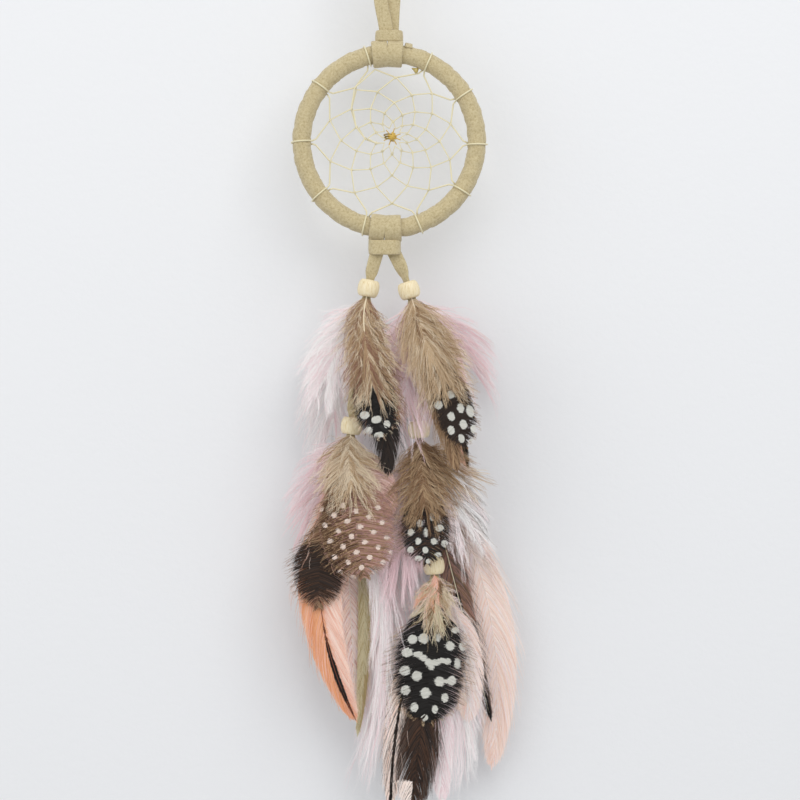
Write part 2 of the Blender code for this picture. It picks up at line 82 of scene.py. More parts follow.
# Wall: matt white paint rolled on plaster, which leaves low stippled ridges 2 to 4 mm apart. It shows only
# from its front, so that the views from behind see the object.
WALL_DEPTH = 0.024  # behind the hoop's middle
STIPPLE = 0.0004  # height of the ridges


def srgb(hex_code):
    """A linear colour from an sRGB hex code."""
    values = [int(hex_code[i : i + 2], 16) / 255 for i in (0, 2, 4)]
    return [v / 12.92 if v <= 0.04045 else ((v + 0.055) / 1.055) ** 2.4 for v in values] + [1]


def new_material(name, hex_code, roughness, **sockets):
    """A Principled material, and its shader node. Sockets are named with _ for a space."""
    made = bpy.data.materials.new(name)
    made.use_nodes = True
    shader = made.node_tree.nodes["Principled BSDF"]
    shader.inputs["Base Color"].default_value = srgb(hex_code)
    shader.inputs["Roughness"].default_value = roughness
    for socket, value in sockets.items():
        shader.inputs[socket.replace("_", " ")].default_value = value
    return made, shader


def add_node(material, kind, settings=None, **inputs):
    """Adds a node with its settings, and gives its inputs values or links them. Inputs have _ for a space in their
    names, or i and their number."""
    made = material.node_tree.nodes.new(kind)
    for setting, value in (settings or {}).items():
        setattr(made, setting, value)
    for name, value in inputs.items():
        socket = made.inputs[int(name[1:]) if name[0] == "i" and name[1:].isdigit() else name.replace("_", " ")]
        if isinstance(value, bpy.types.NodeSocket):
            material.node_tree.links.new(value, socket)
        else:
            socket.default_value = value
    return made


paint, paint_shader = new_material("matt_wall_paint", "EDEEEF", 0.9)
spot = add_node(paint, "ShaderNodeTexCoord").outputs["Object"]
stipple = add_node(paint, "ShaderNodeTexNoise", Vector=spot, Scale=330, Detail=4, Roughness=0.6)
bump = add_node(paint, "ShaderNodeBump", Height=stipple.outputs["Fac"], Strength=0.3, Distance=STIPPLE)
paint.node_tree.links.new(bump.outputs["Normal"], paint_shader.inputs["Normal"])
clear = add_node(paint, "ShaderNodeBsdfTransparent")
behind = add_node(paint, "ShaderNodeNewGeometry").outputs["Backfacing"]
seen = add_node(paint, "ShaderNodeMixShader", Fac=behind, i1=paint_shader.outputs[0], i2=clear.outputs[0])
add_node(paint, "ShaderNodeOutputMaterial", {"is_active_output": True}, Surface=seen.outputs[0])
bpy.ops.mesh.primitive_plane_add(size=3, location=(0, WALL_DEPTH, hoop_centre.z), rotation=(math.radians(90), 0, 0))
wall = bpy.context.object
wall.name = "wall"
wall.data.materials.append(paint)


# Light: a big soft window above and in front to the right, a weaker one to the left, and a bright even room.
LIT = Vector((0, 0, -0.16))  # the windows face the object's middle
WINDOWS = (("window", (0.35, -0.9, 0.55), 1.0, 6.4), ("far_window", (-0.7, -0.8, 0.1), 1.1, 3))
for name, spot, size, power in WINDOWS:
    lamp = in_scene(name, bpy.data.lights.new(name, "AREA"))
    lamp.location = spot
    lamp.rotation_euler = (LIT - Vector(spot)).to_track_quat("-Z", "Y").to_euler()
    lamp.data.size = size
    lamp.data.energy = power
world = bpy.data.worlds.new("room")
world.use_nodes = True
backdrop = world.node_tree.nodes["Background"].inputs
backdrop["Color"].default_value = srgb("F3F4F7")
backdrop["Strength"].default_value = 0.65
bpy.context.scene.world = world


# Hanging loop: one suede lace, 5 mm wide and 1.3 mm thick, doubled. Its two sides come out of the knot edge to
# the front, turn a quarter on their way down and go in behind the bar of the upper lark's head knot.
LACE_WIDE = 5.0
LACE_THICK = 1.3

# Split cowhide, napped on both faces: a short matt pile that catches the light at its edges, with darker and
# lighter patches a millimetre or so across where it has been rubbed.
suede, suede_shader = new_material("napped_suede", "BFAE84", 0.95, Sheen_Weight=0.25, Sheen_Roughness=0.6)
spot = add_node(suede, "ShaderNodeTexCoord").outputs["Object"]
patches = add_node(suede, "ShaderNodeTexNoise", Vector=spot, Scale=1300, Detail=3, Roughness=0.6)
nap = add_node(suede, "ShaderNodeTexNoise", Vector=spot, Scale=3600, Detail=3, Roughness=0.7)
add_up = {"operation": "MULTIPLY_ADD"}
pile = add_node(suede, "ShaderNodeMath", add_up, i0=nap.outputs[0], i1=0.6, i2=patches.outputs[0])


def mottle(material, shader, height, stops, strength, relief):
    """Colours a material by a pattern's height, with three (height, colour) stops, and gives it that relief."""
    tone = add_node(material, "ShaderNodeValToRGB", Fac=height)
    low, middle, high = stops
    for element, (place, hex_code) in zip(tone.color_ramp.elements, (low, high)):
        element.position, element.color = place, srgb(hex_code)
    tone.color_ramp.elements.new(middle[0]).color = srgb(middle[1])
    bump = add_node(material, "ShaderNodeBump", Height=height, Strength=strength, Distance=relief)
    material.node_tree.links.new(tone.outputs[0], shader.inputs["Base Color"])
    material.node_tree.links.new(bump.outputs["Normal"], shader.inputs["Normal"])


mottle(suede, suede_shader, pile.outputs[0], ((0.58, "AD9C72"), (0.76, "C2B289"), (1.0, "CFC199")), 0.55, 0.0003)


def smooth_line(points, count, steps=24):
    """Evenly spaced points along a smooth curve through the given points, and the curve's length."""
    knots = [Vector(p) for p in points]
    spans = [(b - a).length for a, b in zip(knots, knots[1:])]
    slopes = [(b - a) / span for a, b, span in zip(knots, knots[1:], spans)]
    tangents = [slopes[0]]
    for n in range(1, len(slopes)):
        tangents.append((slopes[n - 1] * spans[n] + slopes[n] * spans[n - 1]) / (spans[n - 1] + spans[n]))
    tangents.append(2 * slopes[-1] - tangents[-1])
    fine = [knots[0]]
    for n, span in enumerate(spans):
        for step in range(1, steps + 1):
            t = step / steps
            ends = knots[n] * (1 - 3 * t**2 + 2 * t**3) + knots[n + 1] * (3 * t**2 - 2 * t**3)
            fine.append(ends + (tangents[n] * (t - 2 * t**2 + t**3) + tangents[n + 1] * (t**3 - t**2)) * span)
    fine = np.array(fine)
    along = np.concatenate([[0], np.cumsum(np.linalg.norm(np.diff(fine, axis=0), axis=1))])
    wanted = np.linspace(0, along[-1], count)
    return np.stack([np.interp(wanted, along, fine[:, axis]) for axis in range(3)], axis=1), along[-1]


def unit(vectors):
    return vectors / np.linalg.norm(vectors, axis=-1, keepdims=True)


def lace_ring(centre, along, flat, wide, thick, count=14):
    """Points round one cross-section of a lace: a flat oblong with softly rounded edges."""
    flat = unit(flat - along * np.dot(flat, along))
    out = np.cross(along, flat)
    turns = np.arange(count) * 2 * math.pi / count
    across = np.sign(np.cos(turns)) * np.abs(np.cos(turns)) ** 0.35 * wide / 2
    deep = np.sign(np.sin(turns)) * np.abs(np.sin(turns)) ** 0.5 * thick / 2
    return centre + np.outer(across, flat) + np.outer(deep, out)


def lace(name, centres, flats, wide=LACE_WIDE, thick=LACE_THICK, closed=False):
    """A suede lace swept along centre points in millimetres. Its width turns along its way, so it is swept in code:
    flats has the width's direction at each point, and wide may differ from point to point."""
    centres = np.array(centres, float)
    flats = np.broadcast_to(np.array(flats, float), centres.shape)
    wide = np.broadcast_to(np.array(wide, float), (len(centres),))
    if closed:
        along = unit(np.roll(centres, -1, axis=0) - np.roll(centres, 1, axis=0))
    else:
        along = unit(np.gradient(centres, axis=0))
    bm = bmesh.new()
    rings = []
    for centre, direction, flat, w in zip(centres, along, flats, wide):
        rings.append([bm.verts.new(Vector(p) * MM) for p in lace_ring(centre, direction, flat, w, thick)])
    for a, b in zip(rings, rings[1:] + rings[:1] if closed else rings[1:]):
        for k in range(len(a)):
            bm.faces.new((a[k - 1], a[k], b[k], b[k - 1]))
    if not closed:
        bm.faces.new(rings[0])
        bm.faces.new(rings[-1][::-1])
    bmesh.ops.recalc_face_normals(bm, faces=bm.faces)
    mesh = bpy.data.meshes.new(name)
    bm.to_mesh(mesh)
    bm.free()
    mesh.materials.append(suede)
    mesh.shade_smooth()
    return in_scene(name, mesh)


def smoothstep(values):
    values = np.clip(values, 0, 1)
    return values * values * (3 - 2 * values)


def turned_flats(angles):
    """Directions of a lace's width when it is turned by these angles from facing the front."""
    return np.stack([np.cos(angles), np.sin(angles), 0 * angles], axis=1)


STRANDS = {
    "left": (
        (-2.85, 0, 3), (-2.85, 0, -0.2), (-3.1, 0, -7), (-3.5, -0.2, -16), (-3.2, -0.8, -28), (-1.1, -0.85, -41),
        (-1.0, -0.8, -43.5),
    ),
    "right": (
        (2.85, 0, 3), (2.85, 0, -0.2), (2.95, 0, -7), (2.5, 0.2, -16), (1.6, 0.7, -28), (0.95, 0.6, -41),
        (0.9, 0.6, -43.5),
    ),
}
for side, points in STRANDS.items():
    path, length = smooth_line(points, 40)
    turned = (math.pi / 2) * (1 - smoothstep((-path[:, 2] - 3) / 18)) * (1 if side == "left" else -1)
    strand = lace(f"loop_strand_{side}", path, turned_flats(turned))
    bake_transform(strand)
    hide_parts(f"loop_lace_{side}")


# Knot of the hanging loop: the doubled lace tied in a plain overhand knot, drawn tight, with its two cut ends
# standing out of the top. It bears on the nail between the loop's two sides.
def only(*pieces):
    """Selects these pieces and nothing else, with the first one active."""
    bpy.ops.object.select_all(action="DESELECT")
    for piece in pieces:
        piece.select_set(True)
    bpy.context.view_layer.objects.active = pieces[0]


def stand_in(piece, body, node):
    """Lets a finished piece ride on a body in place of a CAD node, which it hides."""
    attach(piece, body)
    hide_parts(node)


def joined(name, pieces, body, node):
    """Makes one piece of several, which stands in for a CAD node."""
    only(*pieces)
    bpy.ops.object.join()
    whole = bpy.context.object
    whole.name = whole.data.name = name
    stand_in(whole, body, node)


def band(name, middle, radii, lean, height, wide):
    """A closed turn of lace round the knot: an oval in plan, leaning to one side."""
    turns = np.linspace(0, 2 * math.pi, 48, endpoint=False)
    rise = radii[0] * np.cos(turns) * math.tan(math.radians(lean))
    path = np.stack([radii[0] * np.cos(turns), radii[1] * np.sin(turns), rise], axis=1) + (*middle, height)
    upright = (-math.sin(math.radians(lean)), 0, math.cos(math.radians(lean)))
    return lace(name, path, upright, wide=wide, thick=1.25, closed=True)


knot = [
    band("turn_low", (0, 0), (4.3, 2.7), -14, 2.9, 4.3),
    band("turn_high", (0.2, 0), (4.1, 2.6), 21, 4.9, 4.4),
    band("turn_over", (-0.2, -0.1), (3.8, 2.9), -33, 4.2, 3.6),
    lace("saddle", [(0, -2.5, 0.65), (0, 0, 0.6), (0, 2.5, 0.65)], (1, 0, 0), wide=2.3, thick=1.2),
    lace("core", [(0, 0, 1.3), (0, 0, 3), (0, 0, 6.6)], (1, 0, 0), wide=6.4, thick=4.2),
]
for side, lean in ((-1, -24), (1, 17)):
    up = np.array([math.sin(math.radians(lean)), 0, math.cos(math.radians(lean))])
    flat = np.array([up[2], 0, -up[0]])
    root = np.array([side * 1.6, side * 0.9, 4.0])
    path = [root + up * d + (0, 0.25 * side * math.sin(d / 4), 0) for d in np.linspace(0, 12.6, 14)]
    knot.append(lace(f"end_{side}", path, flat, thick=1.2))
joined("loop_knot_lace", knot, "knot", "loop_knot")


# Lark's head knots: each is one lace folded in two, passed over the hoop's band and through its own bight. Two
# turns lie side by side round the band, and the bight makes a bar across the ends that it holds.
BAND = 3.35  # radius of the wound band
RING = (hoop_high.x - hoop_low.x) / 2 / MM - BAND  # radius of the band's middle line
HOOP = np.array(hoop_centre) / MM


def round_band(name, x_low, x_high, top):
    """A turn of lace round the hoop's band between two X places, at the top (1) or the foot (-1) of the hoop."""
    lean = math.asin((x_low + x_high) / 2 / RING)
    out = np.array([math.sin(lean), 0, top * math.cos(lean)])
    side = np.array([math.cos(lean), 0, -top * math.sin(lean)])
    turns = np.linspace(0, 2 * math.pi, 56, endpoint=False)
    rim = BAND + 0.5 + 0.55
    path = HOOP + out * RING + rim * (np.outer(np.cos(turns), out) + np.outer(np.sin(turns), (0, 1, 0)))
    return lace(name, path, side, wide=x_high - x_low, thick=1.1, closed=True)


def bar(name, x_low, x_high, z_low, z_high, top):
    """The bight across the front, with its ends bent back into the turns."""
    middle, half = (z_low + z_high) / 2, (x_high - x_low) / 2
    x = (x_low + x_high) / 2
    tuck = top * 1.1
    end = ((half + 0.1, 1.6, 1), (half, 0.2, 0.5), (half - 0.25, -1.5, 0.1), (half - 1.1, -2.28, 0))
    path = [(x - out, y, middle - sunk * tuck) for out, y, sunk in end] + [(x, -2.32, middle)]
    path += [(x + out, y, middle - sunk * tuck) for out, y, sunk in end[::-1]]
    points, _ = smooth_line([HOOP + p for p in path], 44)
    return lace(name, points, (0, 0, 1), wide=z_high - z_low, thick=1.25)


top_turns = [round_band("turn_left", -6.25, -0.4, 1), round_band("turn_right", -0.85, 4.85, 1)]
joined("hoop_hitch_lace", [*top_turns, bar("bight", -4.45, 4.35, 36.0, 40.1, 1)], "hitch", "hoop_hitch")
low_turns = [round_band("turn_left", -7.05, -1.4, -1), round_band("turn_right", -1.85, 4.35, -1)]
joined("tail_hitch_lace", [*low_turns, bar("bight", -6.9, 3.5, -41.5, -36.0, -1)], "tail_knot", "tail_hitch")


# Hoop: a rattan ring wound from end to end with the same suede, each turn just over the edge of the last, so
# that faint slanting seams cross the band. The lace's tail is glued down beside the upper knot.
TURN_PITCH = 4.5  # along the band, from seam to seam
SEAM_DEEP = 0.22
SEAM_WIDE = 0.4
bpy.ops.object.select_all(action="DESELECT")
bpy.ops.mesh.primitive_torus_add(
    major_segments=540, minor_segments=36, major_radius=RING * MM, minor_radius=BAND * MM,
    location=hoop_centre, rotation=(math.radians(90), 0, 0),
)
wrap = bpy.context.object
bpy.ops.object.transform_apply()
wrap.name = wrap.data.name = "hoop_wrap_suede"
spots = np.empty(len(wrap.data.vertices) * 3)
wrap.data.vertices.foreach_get("co", spots)
spots = spots.reshape(-1, 3) / MM - HOOP
around = np.arctan2(spots[:, 2], spots[:, 0])
outward = np.stack([np.cos(around), 0 * around, np.sin(around)], axis=1)
section = spots - outward * RING
turn = np.arctan2(section[:, 1], np.sum(section * outward, axis=1))
turns = round(2 * math.pi * RING / TURN_PITCH)
wander = 0.16 * np.sin(7 * around + 1) + 0.12 * np.sin(13 * around + 2)
share = (turns * around / (2 * math.pi) + wander - turn / (2 * math.pi)) % 1.0
from_seam = np.minimum(share, 1 - share) * TURN_PITCH
sunk = SEAM_DEEP * np.exp(-((from_seam / SEAM_WIDE) ** 2)) + 0.14 * share - 0.1
lumps = 0.06 * np.sin(23 * around + 2 * turn) + 0.05 * np.sin(41 * around - 3 * turn + 1)
spots = HOOP + outward * RING + section * (1 - (sunk - lumps)[:, None] / BAND)
wrap.data.vertices.foreach_set("co", (spots * MM).ravel())
wrap.data.materials.append(suede)
wrap.data.shade_smooth()
stand_in(wrap, "hoop", "hoop_wrap")

# Rattan: pale yellow cane with fine fibres along it. Only its ends would show, under the wrap.
cane, cane_shader = new_material("peeled_rattan", "C8A86A", 0.6)
spot = add_node(cane, "ShaderNodeTexCoord").outputs["Object"]
fibre = add_node(cane, "ShaderNodeTexNoise", Vector=spot, Scale=900, Detail=2)
tone = add_node(cane, "ShaderNodeMix", {"data_type": "RGBA"}, Factor=fibre.outputs["Fac"])
tone.inputs[6].default_value, tone.inputs[7].default_value = srgb("A8854B"), srgb("DCC08A")
cane.node_tree.links.new(tone.outputs[2], cane_shader.inputs["Base Color"])
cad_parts["hoop_core"].material_slots[0].material = cane

# The wrap's end: a stub of the lace bent over the band's edge, with frayed corners pressed down.
lean = math.radians(78.5)
out = np.array([math.cos(lean), 0, math.sin(lean)])
side = np.array([out[2], 0, -out[0]])
path = [HOOP + out * (RING + BAND + d) + side * s + (0, y, 0) for y, d, s in
        ((-2.6, -0.9, 0.2), (-1.7, 0.1, 0.1), (-0.6, 0.62, 0), (0.6, 0.66, -0.1), (1.7, 0.2, -0.1), (2.6, -0.8, 0))]
points, _ = smooth_line(path, 20)
joined("wrap_end_suede", [lace("stub", points, side, wide=2.7, thick=0.85)], "hoop", "wrap_end")

# Craft glue: a clear yellowish dab, dried glossy where it ran out from under the wrap's end.
glue, _ = new_material("dried_clear_glue", "B9A55C", 0.22, Coat_Weight=0.6, Coat_Roughness=0.1)
low, high = (Vector(corner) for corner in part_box("glue_dab"))
middle = (low + high) / 2
bpy.ops.object.select_all(action="DESELECT")
bpy.ops.mesh.primitive_uv_sphere_add(segments=28, ring_count=18, radius=1, location=middle)
dab = bpy.context.object
dab.name = dab.data.name = "glue_drip"
dab.scale = (1.35 * MM, 1.0 * MM, 0.9 * MM)
dab.rotation_euler = (0, math.radians(14), 0)
bpy.ops.object.transform_apply()
for vertex in dab.data.vertices:
    offset = (vertex.co - middle) / MM
    swell = 1 + 0.12 * math.sin(3.1 * offset.x + 1) + 0.1 * math.sin(4.3 * offset.z + 2 * offset.y)
    vertex.co = middle + (offset * swell + Vector((0, 0, 0.35 * abs(offset.x)))) * MM
dab.data.materials.append(glue)
dab.data.shade_smooth()
stand_in(dab, "hoop", "glue_dab")


# Web: one waxed ivory thread, hitched round the band at ten places and then worked inwards, each round caught
# on the middle of the last one's bights by a half hitch, down to a knot of golden thread.
THREAD = 0.3  # radius
THREAD_DEEP = 0.45  # rounds lie in front of and behind the middle plane in turn
ANCHORS = (105, 142, 181, 218, 254, 290, 326, 358, 392, 424)  # degrees anticlockwise from +X
ROUNDS = (27.9, 23.0, 18.0, 13.3, 9.5, 6.0, 3.4)
WEB_MIDDLE = (1.0, 1.5)


def web_point(step, radius, y):
    """A point of the web: step counts anchors and may lie between two, radius is from the hoop's centre."""
    whole, count = math.floor(step), len(ANCHORS)
    start = ANCHORS[whole % count] + 360 * (whole // count)
    end = ANCHORS[(whole + 1) % count] + 360 * ((whole + 1) // count)
    angle = math.radians(start + (end - start) * (step - whole))
    shift = max(0, 1 - radius / ROUNDS[0])
    x = radius * math.cos(angle) + WEB_MIDDLE[0] * shift
    z = radius * math.sin(angle) + WEB_MIDDLE[1] * shift
    return (x, y, z + HOOP[2])


count = len(ANCHORS)
foot = 0.03  # share of a step by which the thread moves on where it goes round the band
TURN_PARTS = 16
part_angle = 360 / TURN_PARTS
rim = (BAND + 0.06 + THREAD) / math.cos(math.radians(part_angle / 2))
path, hitches = [], []
for step in range(count):
    if step:
        path.append(web_point(step - 2 * foot, ROUNDS[0] - 1.1, THREAD_DEEP))
    for turn in range(TURN_PARTS + 1):
        angle = math.radians(180 + part_angle * turn)
        path.append(web_point(step + foot * (turn / 8 - 1), RING + rim * math.cos(angle), rim * math.sin(angle)))
    path.append(web_point(step + 2 * foot, ROUNDS[0] - 1.1, THREAD_DEEP))
    path.append(web_point(step + 0.5, ROUNDS[1], THREAD_DEEP))
path.append(web_point(count - 3 * foot, ROUNDS[0] - 1.5, -THREAD_DEEP))
for level in range(1, len(ROUNDS) - 1):
    y = THREAD_DEEP if level % 2 == 0 else -THREAD_DEEP
    for number in range(count):
        step = count + level / 2 + number
        path.append(web_point(step, ROUNDS[level], y))
        path.append(web_point(step + 0.5, ROUNDS[level + 1], y))
        hitches.append((web_point(step, ROUNDS[level] - 0.3, 0), web_point(step, ROUNDS[level] - 1.5, 0)))
    if level < len(ROUNDS) - 2:
        path.append(web_point(count + level / 2, ROUNDS[level] - 0.95, -y))
path.append((WEB_MIDDLE[0] + 1.2, path[-1][1], WEB_MIDDLE[1] + HOOP[2] - 1.2))


def tube(name, points, radius, material, sides=8, closed=False):
    """A round thread along points in millimetres, drawn as a curve and then made a mesh."""
    curve = bpy.data.curves.new(name, "CURVE")
    curve.dimensions = "3D"
    curve.bevel_depth = radius * MM
    curve.bevel_resolution = sides // 2 - 2
    curve.use_fill_caps = True
    spline = curve.splines.new("POLY")
    spline.points.add(len(points) - 1)
    for at, point in zip(spline.points, points):
        at.co = (*(Vector(point) * MM), 1)
    spline.use_cyclic_u = closed
    curve.materials.append(material)
    only(in_scene(name, curve))
    bpy.ops.object.convert(target="MESH")
    bpy.context.object.data.shade_smooth()
    return bpy.context.object


# Waxed polyester sinew: pale ivory, satin, slightly see-through at its edges. Golden thread: the same, dyed.
ivory, _ = new_material("waxed_ivory_thread", "E6DDB8", 0.42, Sheen_Weight=0.2)
golden, _ = new_material("golden_thread", "D2AE4C", 0.45, Sheen_Weight=0.2)
dark_gold, _ = new_material("golden_thread_in_shade", "8A7126", 0.5)
threads = [tube("thread", path, THREAD, ivory)]
for number, (place, inner) in enumerate(hitches):
    inward = unit(np.array(inner) - place)
    across = np.array([-inward[2], 0, inward[0]])
    turns = np.linspace(0, 2 * math.pi * 1.6, 13)
    deep = np.array([0, 1.25, 0])
    place = np.array(place)
    ring = [place + 0.5 * (math.cos(t) * across + math.sin(t) * deep) + inward * (t - 5) * 0.07 for t in turns]
    threads.append(tube(f"hitch_{number}", ring, 0.15, ivory, sides=6))
joined("web_of_thread", threads, "hoop", "web_thread")

middle = HOOP + (WEB_MIDDLE[0], 0, WEB_MIDDLE[1])
winding = []
for n in range(150):
    t = n / 149
    tilt = 2.1 * math.pi * t
    angle = 2 * math.pi * 9 * t
    across = np.array([math.cos(tilt), 0, math.sin(tilt)])
    size = 1.45 + 0.25 * math.sin(5 * angle / 9)
    winding.append(middle + size * math.cos(angle) * across + (0, 1.15 * size * math.sin(angle) * 0.7, 0))
core = [tube("winding", winding, 0.3, golden)]
for number, (reach, rise) in enumerate(((-2.9, 0.55), (-2.6, -0.35))):
    loop = [middle + (reach / 2 + reach / 2 * math.cos(a), -0.9 + 0.2 * math.sin(2 * a), rise + 0.42 * math.sin(a))
            for a in np.linspace(0, 2 * math.pi, 22, endpoint=False)]
    core.append(tube(f"loop_{number}", loop, 0.22, dark_gold, closed=True))
for number, angle in enumerate((20, 75, 130, 205, 250, 300, 340)):
    a = math.radians(angle)
    ray = [middle + (out * math.cos(a), y, up * math.sin(a)) for out, y, up in ((1.2, -0.3, 1.1), (3.3, 0, 3.2))]
    core.append(tube(f"ray_{number}", ray, 0.2, golden, sides=6))
joined("web_knot_thread", core, "hoop", "web_knot")


# Tails: the two ends of the lower knot's lace, hanging side by side. Each is drawn through its wooden beads,
# which squeeze it narrow, and turns a little edge-on on its way. The left one has two beads, the right one three.
BEADS = {  # lace depth, centre from the hoop's centre, and tilt in degrees
    "left_top": (-0.8, (-7.6, -53.6), -11),
    "right_top": (0.8, (7.2, -54.2), 17),
    "left_low": (-0.8, (-13.6, -103.6), -7),
    "right_mid": (0.8, (10.8, -105.0), 5),
    "right_low": (0.8, (16.2, -154.5), 4),
}
BEAD_HIGH = 6.2
BEAD_WIDE = 7.9
PINCH = 3.0  # the lace's width inside a bead
NARROWING = 3.4  # the stretch above and below a bead over which it narrows


def bead_axis(cluster):
    """A bead's centre in millimetres, and the direction in which the lace runs down through it."""
    y, (x, z), tilt = BEADS[cluster]
    lean = math.radians(tilt)
    return HOOP + (x, y, z), np.array([math.sin(lean), 0, -math.cos(lean)])


def tail_lace(name, start, clusters, upper, lower, nodes, twists):
    """A stretch of tail from a point to beyond its last bead. twists are (distance down it, degrees edge-on)."""
    points = [np.array(start)] if start is not None else []
    for number, cluster in enumerate(clusters):
        centre, down = bead_axis(cluster)
        if number or start is not None:
            points.append(centre - down * (BEAD_HIGH / 2 + 2.2))
            points.append(centre)
        else:
            points.append(centre + down * 0.4)
        points.append(centre + down * (BEAD_HIGH / 2 + 1.6))
    path, length = smooth_line(points, 90)
    wide = np.full(len(path), LACE_WIDE)
    for cluster in clusters:
        centre, _ = bead_axis(cluster)
        near = 1 - (np.linalg.norm(path - centre, axis=1) - BEAD_HIGH / 2) / NARROWING
        wide -= (LACE_WIDE - PINCH) * smoothstep(near)
    turned = np.radians(np.interp(np.linspace(0, length, len(path)), *zip(*twists)))
    tail = lace(name, path, turned_flats(turned), wide=wide, thick=1.2)
    if lower:
        centre, down = bead_axis(clusters[0])
        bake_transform(tail)
    else:
        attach(tail, upper)
    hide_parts(*nodes)


tail_lace(
    "left_tail_lace", HOOP + (-3.9, -0.8, -38.6), ("left_top", "left_low"), "left_tail_upper", "left_tail_lower",
    ("left_lace_upper", "left_lace_lower"), ((0, 8), (9, 30), (20, 0), (45, 0), (66, 0)),
)
tail_lace(
    "right_tail_lace", HOOP + (0.8, 0.8, -38.6), ("right_top", "right_mid"), "right_tail_upper",
    "right_tail_middle", ("right_lace_upper", "right_lace_middle"),
    ((0, -5), (7, -15), (12, -62), (20, -20), (45, 0), (66, 0)),
)
tail_lace(
    "right_tail_end_lace", None, ("right_mid", "right_low"), "right_tail_lower", None,
    ("right_lace_lower",), ((0, 0), (50, 0)),
)


# Beads: barrel-shaped, turned from pale birch and left unvarnished, with a drilled hole that the lace fills.
# Fine grain runs from end to end, a little darker where the tool crossed it.
birch, birch_shader = new_material("raw_birch", "E9D6A8", 0.6, Coat_Weight=0.08, Coat_Roughness=0.4)
spot = add_node(birch, "ShaderNodeTexCoord").outputs["Object"]
grain_place = add_node(birch, "ShaderNodeMapping", Vector=spot, Scale=(2400, 2400, 260))
grain = add_node(birch, "ShaderNodeTexNoise", Vector=grain_place.outputs[0], Scale=1.0, Detail=5, Roughness=0.65)
mottle(birch, birch_shader, grain.outputs[0], ((0.32, "DCC594"), (0.46, "EEDDB4"), (0.62, "F6E9C8")), 0.12, 0.0002)
# Upper half of a bead's outline, from inside the hole: radius, and depth below the end
BEAD_END = ((1.75, 0.5), (1.95, 0.12), (2.25, 0), (2.75, 0.02), (3.2, 0.3), (3.6, 0.95), (3.86, 1.9))
outline = [(r, BEAD_HIGH / 2 - z) for r, z in BEAD_END] + [(BEAD_WIDE / 2, 0)]
outline += [(r, z - BEAD_HIGH / 2) for r, z in BEAD_END[::-1]]
for cluster, (_, _, tilt) in BEADS.items():
    centre, down = bead_axis(cluster)
    mesh = bpy.data.meshes.new(f"{cluster}_birch_bead")
    count = len(outline)
    mesh.from_pydata([(r * MM, 0, z * MM) for r, z in outline], [(n, (n + 1) % count) for n in range(count)], [])
    bead = in_scene(mesh.name, mesh)
    only(bead)
    bpy.ops.object.mode_set(mode="EDIT")
    bpy.ops.mesh.select_all(action="SELECT")
    bpy.ops.mesh.spin(steps=48, angle=2 * math.pi, center=(0, 0, 0), axis=(0, 0, 1))
    bpy.ops.mesh.remove_doubles(threshold=0.000005)
    bpy.ops.mesh.normals_make_consistent(inside=False)
    bpy.ops.object.mode_set(mode="OBJECT")
    for vertex in mesh.vertices:
        angle = math.atan2(vertex.co.y, vertex.co.x)
        vertex.co *= 1 + 0.008 * math.sin(3 * angle + tilt) + 0.006 * math.sin(5 * angle + 2 * tilt)
    mesh.transform(Matrix.Translation(Vector(centre) * MM) @ Matrix.Rotation(math.radians(-tilt), 4, "Y"))
    mesh.materials.append(birch)
    mesh.shade_smooth()
    stand_in(bead, f"{cluster}_bead", f"{cluster}_bead")



# Feathers: every one is a quill with hundreds of separate barbs, and soft ones carry fine barbules on them. Barbs
# are strips and barbules single slivers, far too many and too thin for modelling tools, so they are made in code.
# Each feather sits where its CAD blade is and keeps that blade's depth, with the soft ones standing out round it.
SPREAD = {"left_top": 28.0, "right_top": 28.0, "left_low": 24.0, "right_mid": 24.0, "right_low": 18.0}
QUILL_STEP = 0.25
BACK = np.array([0.0, 1.0, 0.0])
BARB_TIP = 0.01  # half its width there
TINY = 1e-9
PIGMENTS = {  # sRGB colour, roughness, sheen
    "white": ("FFFCFA", 0.8, 0.3),
    "pale_pink": ("FDEFF0", 0.8, 0.3),
    "pink": ("F8DCDF", 0.8, 0.3),
    "mauve": ("EBCDD1", 0.8, 0.3),
    "rose_brown": ("B48A80", 0.6, 0.2),
    "rose_tan": ("DDB7AC", 0.5, 0.2),
    "peach_pale": ("FDEFE6", 0.6, 0.2),
    "peach": ("FBDFD0", 0.6, 0.2),
    "salmon": ("F3BFA8", 0.6, 0.2),
    "orange": ("EFAF82", 0.45, 0.1),
    "deep_orange": ("D9854E", 0.45, 0.1),
    "rust": ("8E4F38", 0.5, 0.1),
    "khaki_pale": ("E4D3B8", 0.75, 0.2),
    "khaki": ("CDB391", 0.75, 0.2),
    "taupe": ("B29472", 0.75, 0.2),
    "brown": ("8A6B4E", 0.75, 0.2),
    "dark_brown": ("52392A", 0.7, 0.1),
    "red_brown": ("97705A", 0.7, 0.1),
    "olive": ("BBAA78", 0.6, 0.1),
    "olive_pale": ("DCD3B0", 0.6, 0.1),
    "grey": ("948A82", 0.7, 0.1),
    "slate": ("5D534D", 0.6, 0.1),
    "seal": ("2C1F17", 0.5, 0.05),
    "black": ("15100D", 0.45, 0.05),
    "spot_white": ("D9D8CF", 0.6, 0.1),
    "spot_cream": ("EBD9CC", 0.6, 0.1),
    "quill_cream": ("E9DDBF", 0.35, 0.0),
    "quill_dark": ("3A2A20", 0.35, 0.0),
    "quill_pale": ("F4ECE2", 0.35, 0.0),
}
feather_colours = {}


